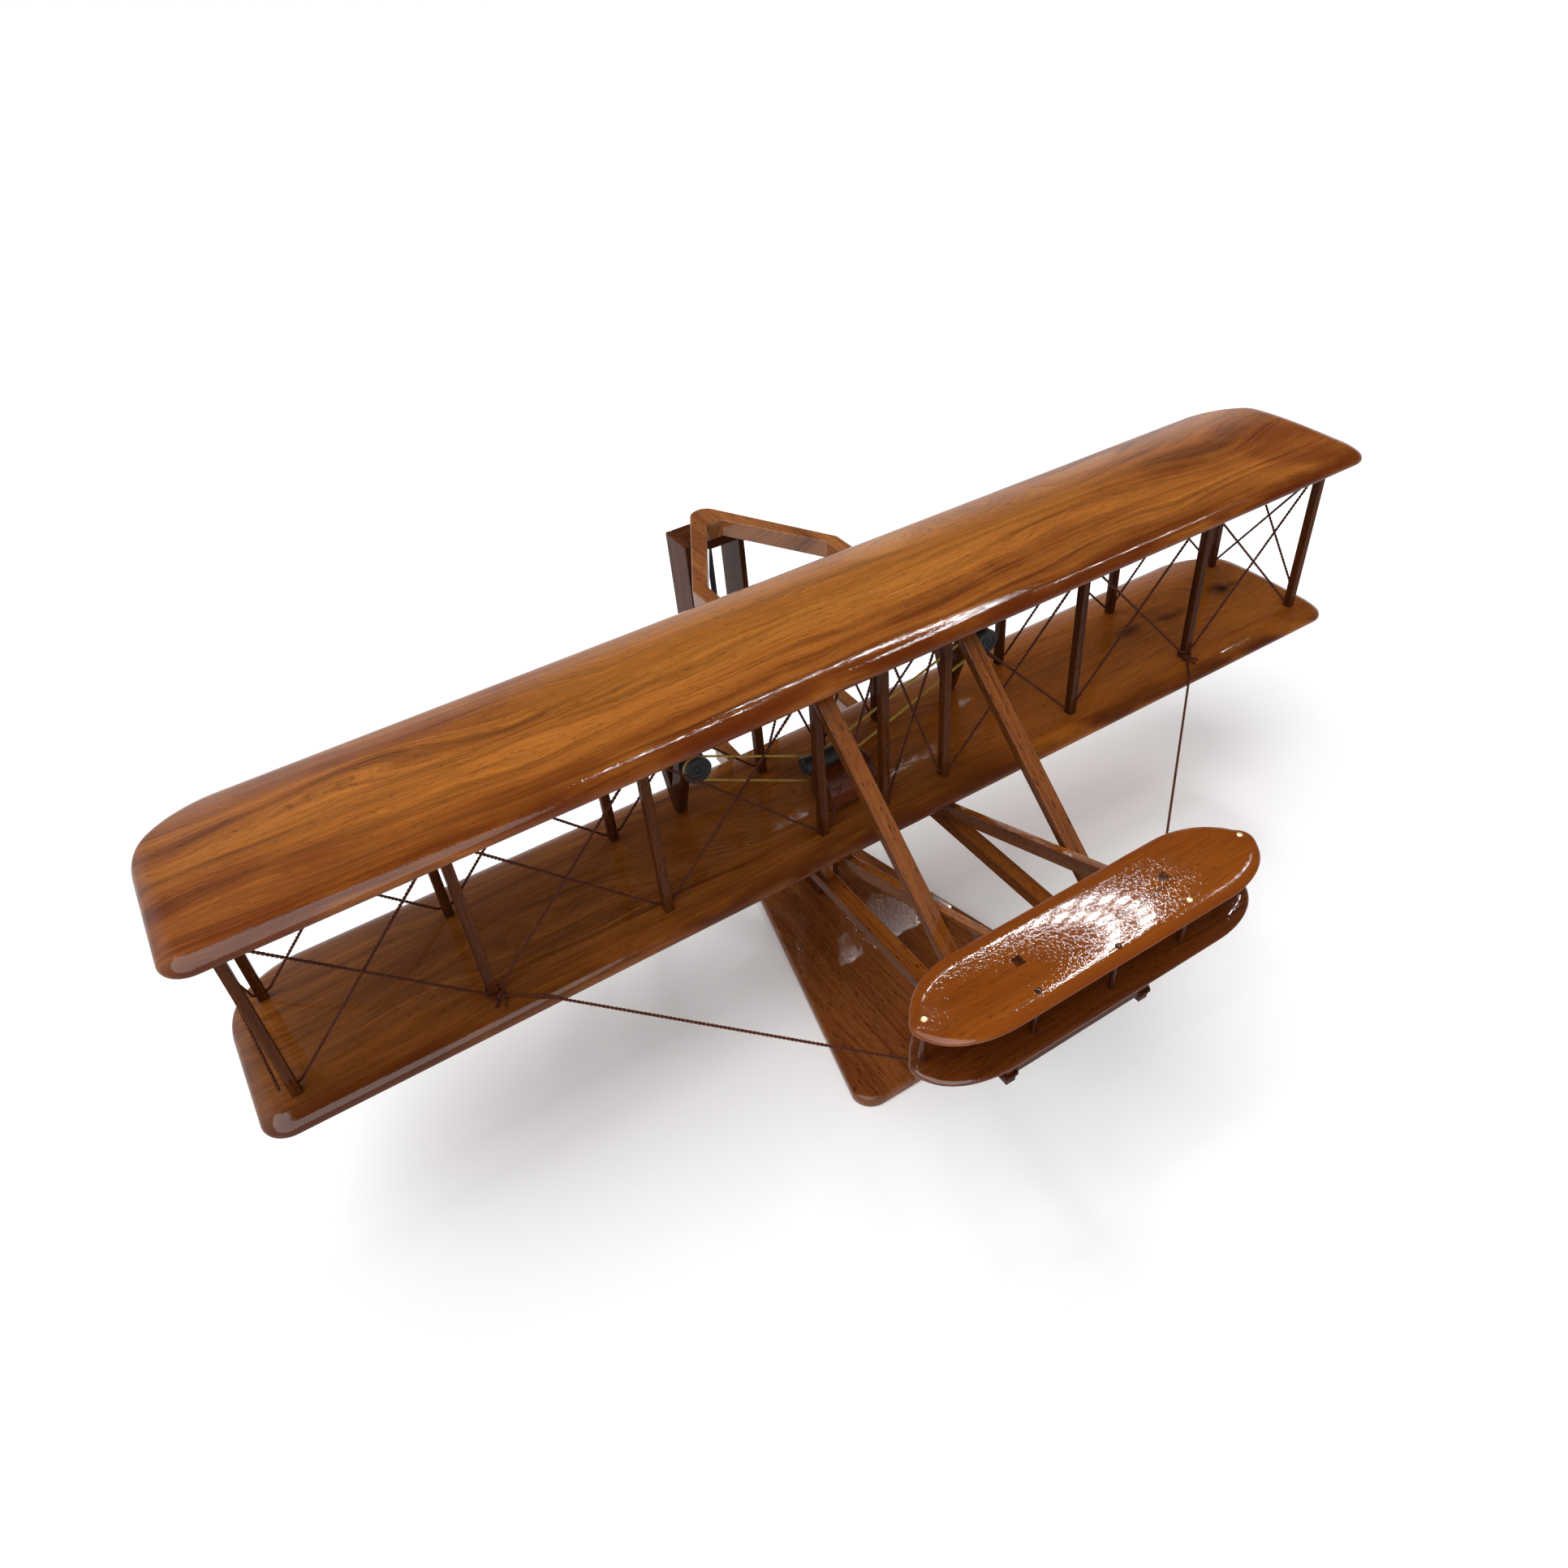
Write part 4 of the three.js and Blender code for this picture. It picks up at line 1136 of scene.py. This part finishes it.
def knot(points, faces, centre, size, seed):
    """A small overhand knot."""
    t = np.linspace(0, 2 * math.pi, 61)[:-1]
    spin = seed * 1.3
    x = np.sin(t) + 2 * np.sin(2 * t)
    y = np.cos(t) - 2 * np.cos(2 * t)
    z = -np.sin(3 * t) * 1.1
    turned_x = x * math.cos(spin) - y * math.sin(spin)
    turned_y = x * math.sin(spin) + y * math.cos(spin)
    flat = np.column_stack([turned_x, turned_y, z])
    path = np.array(centre) + flat * size / 3.0
    tube(path, 0.52 * MM, 8, points, faces, closed=True)


def around_post(x, y, z, radius, squareness, drop, turns, per_turn):
    """A route of whole turns round a post, which sinks by drop on each turn."""
    route = []
    for k in range(turns * per_turn):
        angle = 2 * math.pi * k / per_turn
        corner = max(abs(math.cos(angle)), abs(math.sin(angle))) ** squareness
        r = radius / corner
        height = z - drop * k / per_turn
        route.append([x + r * math.cos(angle), y + r * math.sin(angle), height])
    return route


STAY_TAILS = (((-0.8, -2.2, 0.5), (0.6, -5.0, -0.9)), ((2.2, -1.6, 0.3), (3.6, -3.6, -0.8)))


def stays():
    """A thread from a knot on the lower wing, over its nose and down to the elevator post."""
    wrap_radius = 2.75 * MM
    for (side, label), edge_x in zip(SIDES, (-153 * MM, 161 * MM)):
        post_low, post_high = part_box(f"{label}_elevator_post")
        post_x = (post_low.x + post_high.x) / 2
        post_y = (post_low.y + post_high.y) / 2
        end = [post_x + side * 2.8 * MM, post_y, WING_TOP - 29 * MM]
        foot = [side * 168 * MM, -ROW_Y - 3.0 * MM, WING_TOP + 1.5 * MM]
        edge = [edge_x, LEADING + 1.0 * MM, WING_TOP - 0.6 * MM]
        lip = [edge_x - side * 1.6 * MM, LEADING - 0.2 * MM, WING_TOP - 2.0 * MM]
        points, faces = [], []
        twisted(eased([foot, edge, lip, end], 2 * MM), points, faces, step=0.36 * MM)
        knot(points, faces, foot, 1.5 * MM, 1 + side)
        wing_wrap = around_post(
            side * 170 * MM, -ROW_Y, WING_TOP + 2.5 * MM, wrap_radius, 0, 0.95 * MM, 2, 20
        )
        twisted(wing_wrap, points, faces, step=0.4 * MM, thick=WRAPPED)
        for offsets in STAY_TAILS:
            bend, tip = (np.array(foot) + np.array((side * x, y, z)) * MM for x, y, z in offsets)
            tail = [quadratic(np.array(foot), bend, tip, t) for t in np.linspace(0, 1, 14)]
            twisted(tail, points, faces, thick=0.5 * MM, step=0.35 * MM, fray=0.5)
        post_wrap = around_post(
            post_x, post_y, WING_TOP - 29.4 * MM, wrap_radius, 0.75, -0.9 * MM, 2, 22
        )
        twisted(post_wrap, points, faces, step=0.4 * MM, thick=WRAPPED)
        thread_piece(f"{label}_stay_thread", f"{label}_forward_stay", points, faces)


def chain(side, label, y):
    """A flat cord round the drum and the crank pulley."""
    drum_r, crank_r = 5.1 * MM, 6.0 * MM
    from_x, from_z, to_x, to_z = side * SHAFT_X, SHAFT_Z, CRANK_X, CRANK_Z
    length = math.hypot(to_x - from_x, to_z - from_z)
    slip = math.acos((drum_r - crank_r) / length)
    heading = math.atan2(to_z - from_z, to_x - from_x)
    start, end = heading + slip, heading - slip
    loop = arc(from_x, from_z, drum_r, start, end + 2 * math.pi, 24)
    loop += arc(to_x, to_z, crank_r, end, start, 24)
    loop = [(x, y, z) for x, z in loop]
    path, at = resample(loop + [loop[0]], 0.45 * MM)
    path = path[:-1]
    ahead = np.roll(path, -1, axis=0) - np.roll(path, 1, axis=0)
    ahead /= np.linalg.norm(ahead, axis=1)[:, None]
    outward = np.column_stack([ahead[:, 2], np.zeros(len(path)), -ahead[:, 0]])
    points, faces = [], []
    half_wide, half_thick, weave_pitch, sides = 0.6 * MM, 0.3 * MM, 1.1 * MM, 10
    for i, p in enumerate(path):
        weave = 1 + 0.08 * math.sin(2 * math.pi * at[i] / weave_pitch)
        for k in range(sides):
            angle = 2 * math.pi * k / sides
            flat = math.copysign(abs(math.cos(angle)) ** 0.6, math.cos(angle))
            across = np.array((0, flat * half_wide * weave, 0))
            points.append(p + across + outward[i] * (math.sin(angle) * half_thick))
    rows = len(path)
    for i in range(rows):
        a, b = i * sides, ((i + 1) % rows) * sides
        for k in range(sides):
            m = (k + 1) % sides
            faces.append((a + k, a + m, b + m, b + k))
    thread_piece(f"{label}_drive_cord", f"{label}_chain", points, faces, "chain")


laces()
stays()
for side, label in SIDES:
    low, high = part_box(f"{label}_chain")
    chain(side, label, (low.y + high.y) / 2)

# ---- floor and light

n = material_nodes("studio_floor")
floor_material = n.finish((0.9, 0.9, 0.9, 1.0), 0.9, Specular_IOR_Level=0.1)
mesh = bpy.data.meshes.new("floor")
HALF_FLOOR = 30
corners = [(x, y, 0) for x, y in rectangle(-HALF_FLOOR, HALF_FLOOR, -HALF_FLOOR, HALF_FLOOR)]
mesh.from_pydata(corners, [], [(0, 1, 2, 3)])
mesh.materials.append(floor_material)
floor = bpy.data.objects.new("floor", mesh)
scene.collection.objects.link(floor)

# A pale room with one darker side, well above the horizon, which the varnish mirrors.
PALE_GLOW, DARK_GLOW = 0.85, 0.07
DARK_SIDE = Vector((0.72, 0.33, 0.61)).normalized()
scene.world = bpy.data.worlds.new("studio")
n = Nodes(scene.world)
way = n.add("ShaderNodeTexCoord").outputs["Generated"]
facing = n.add("ShaderNodeVectorMath", {0: way, 1: DARK_SIDE}, operation="DOT_PRODUCT")
height = n.add("ShaderNodeSeparateXYZ", {0: way}).outputs[2]
toward_dark = n.ramp(facing.outputs["Value"], 0.0, 0.82)
darkness = n.math("MULTIPLY", toward_dark, n.ramp(height, 0.12, 0.42))
glow = n.add("ShaderNodeMapRange", {"Value": darkness, "To Min": PALE_GLOW, "To Max": DARK_GLOW})
sky = n.add("ShaderNodeBackground", {0: (0.97, 0.98, 1.0, 1), 1: glow.outputs[0]})
n.add("ShaderNodeOutputWorld", {0: sky.outputs[0]})


def lamp(name, kind, place, power, towards=(0, 0, 0.12), **settings):
    data = bpy.data.lights.new(name, kind)
    data.energy = power
    for key, value in settings.items():
        setattr(data, key, value)
    obj = bpy.data.objects.new(name, data)
    scene.collection.objects.link(obj)
    obj.location = place
    obj.rotation_mode = "QUATERNION"
    obj.rotation_quaternion = (Vector(place) - Vector(towards)).to_track_quat("Z", "Y")


SUN_PLACE, SUN_POWER, SUN_WIDTH = (-0.75, -0.22, 2.1), 2.35, math.radians(60)
lamp("overhead", "SUN", SUN_PLACE, SUN_POWER, towards=(0, 0, 0), angle=SUN_WIDTH)

# Small ceiling lamps: two arcs, and three rows of (first x, step, y, count).
CEILING, LAMP_POWER, LAMP_SIZE = 2.1, 0.36, 0.032
RING_CENTRE = (1.05, 1.05)
spots = []
for ring_radius, count in ((0.38, 14), (0.48, 16)):
    spots += arc(*RING_CENTRE, ring_radius, math.radians(-80), math.radians(60), count - 1)
for first, step, y, count in ((0.42, 0.085, 1.0, 5), (0.86, 0.075, 1.45, 7), (1.62, 0.12, 0.5, 5)):
    spots += [(first + step * k, y) for k in range(count)]
for k, (x, y) in enumerate(spots):
    lamp(f"ceiling_{k}", "AREA", (x, y, CEILING), LAMP_POWER, shape="SQUARE", size=LAMP_SIZE)

scene.view_settings.view_transform = "Standard"
scene.view_settings.look = "None"
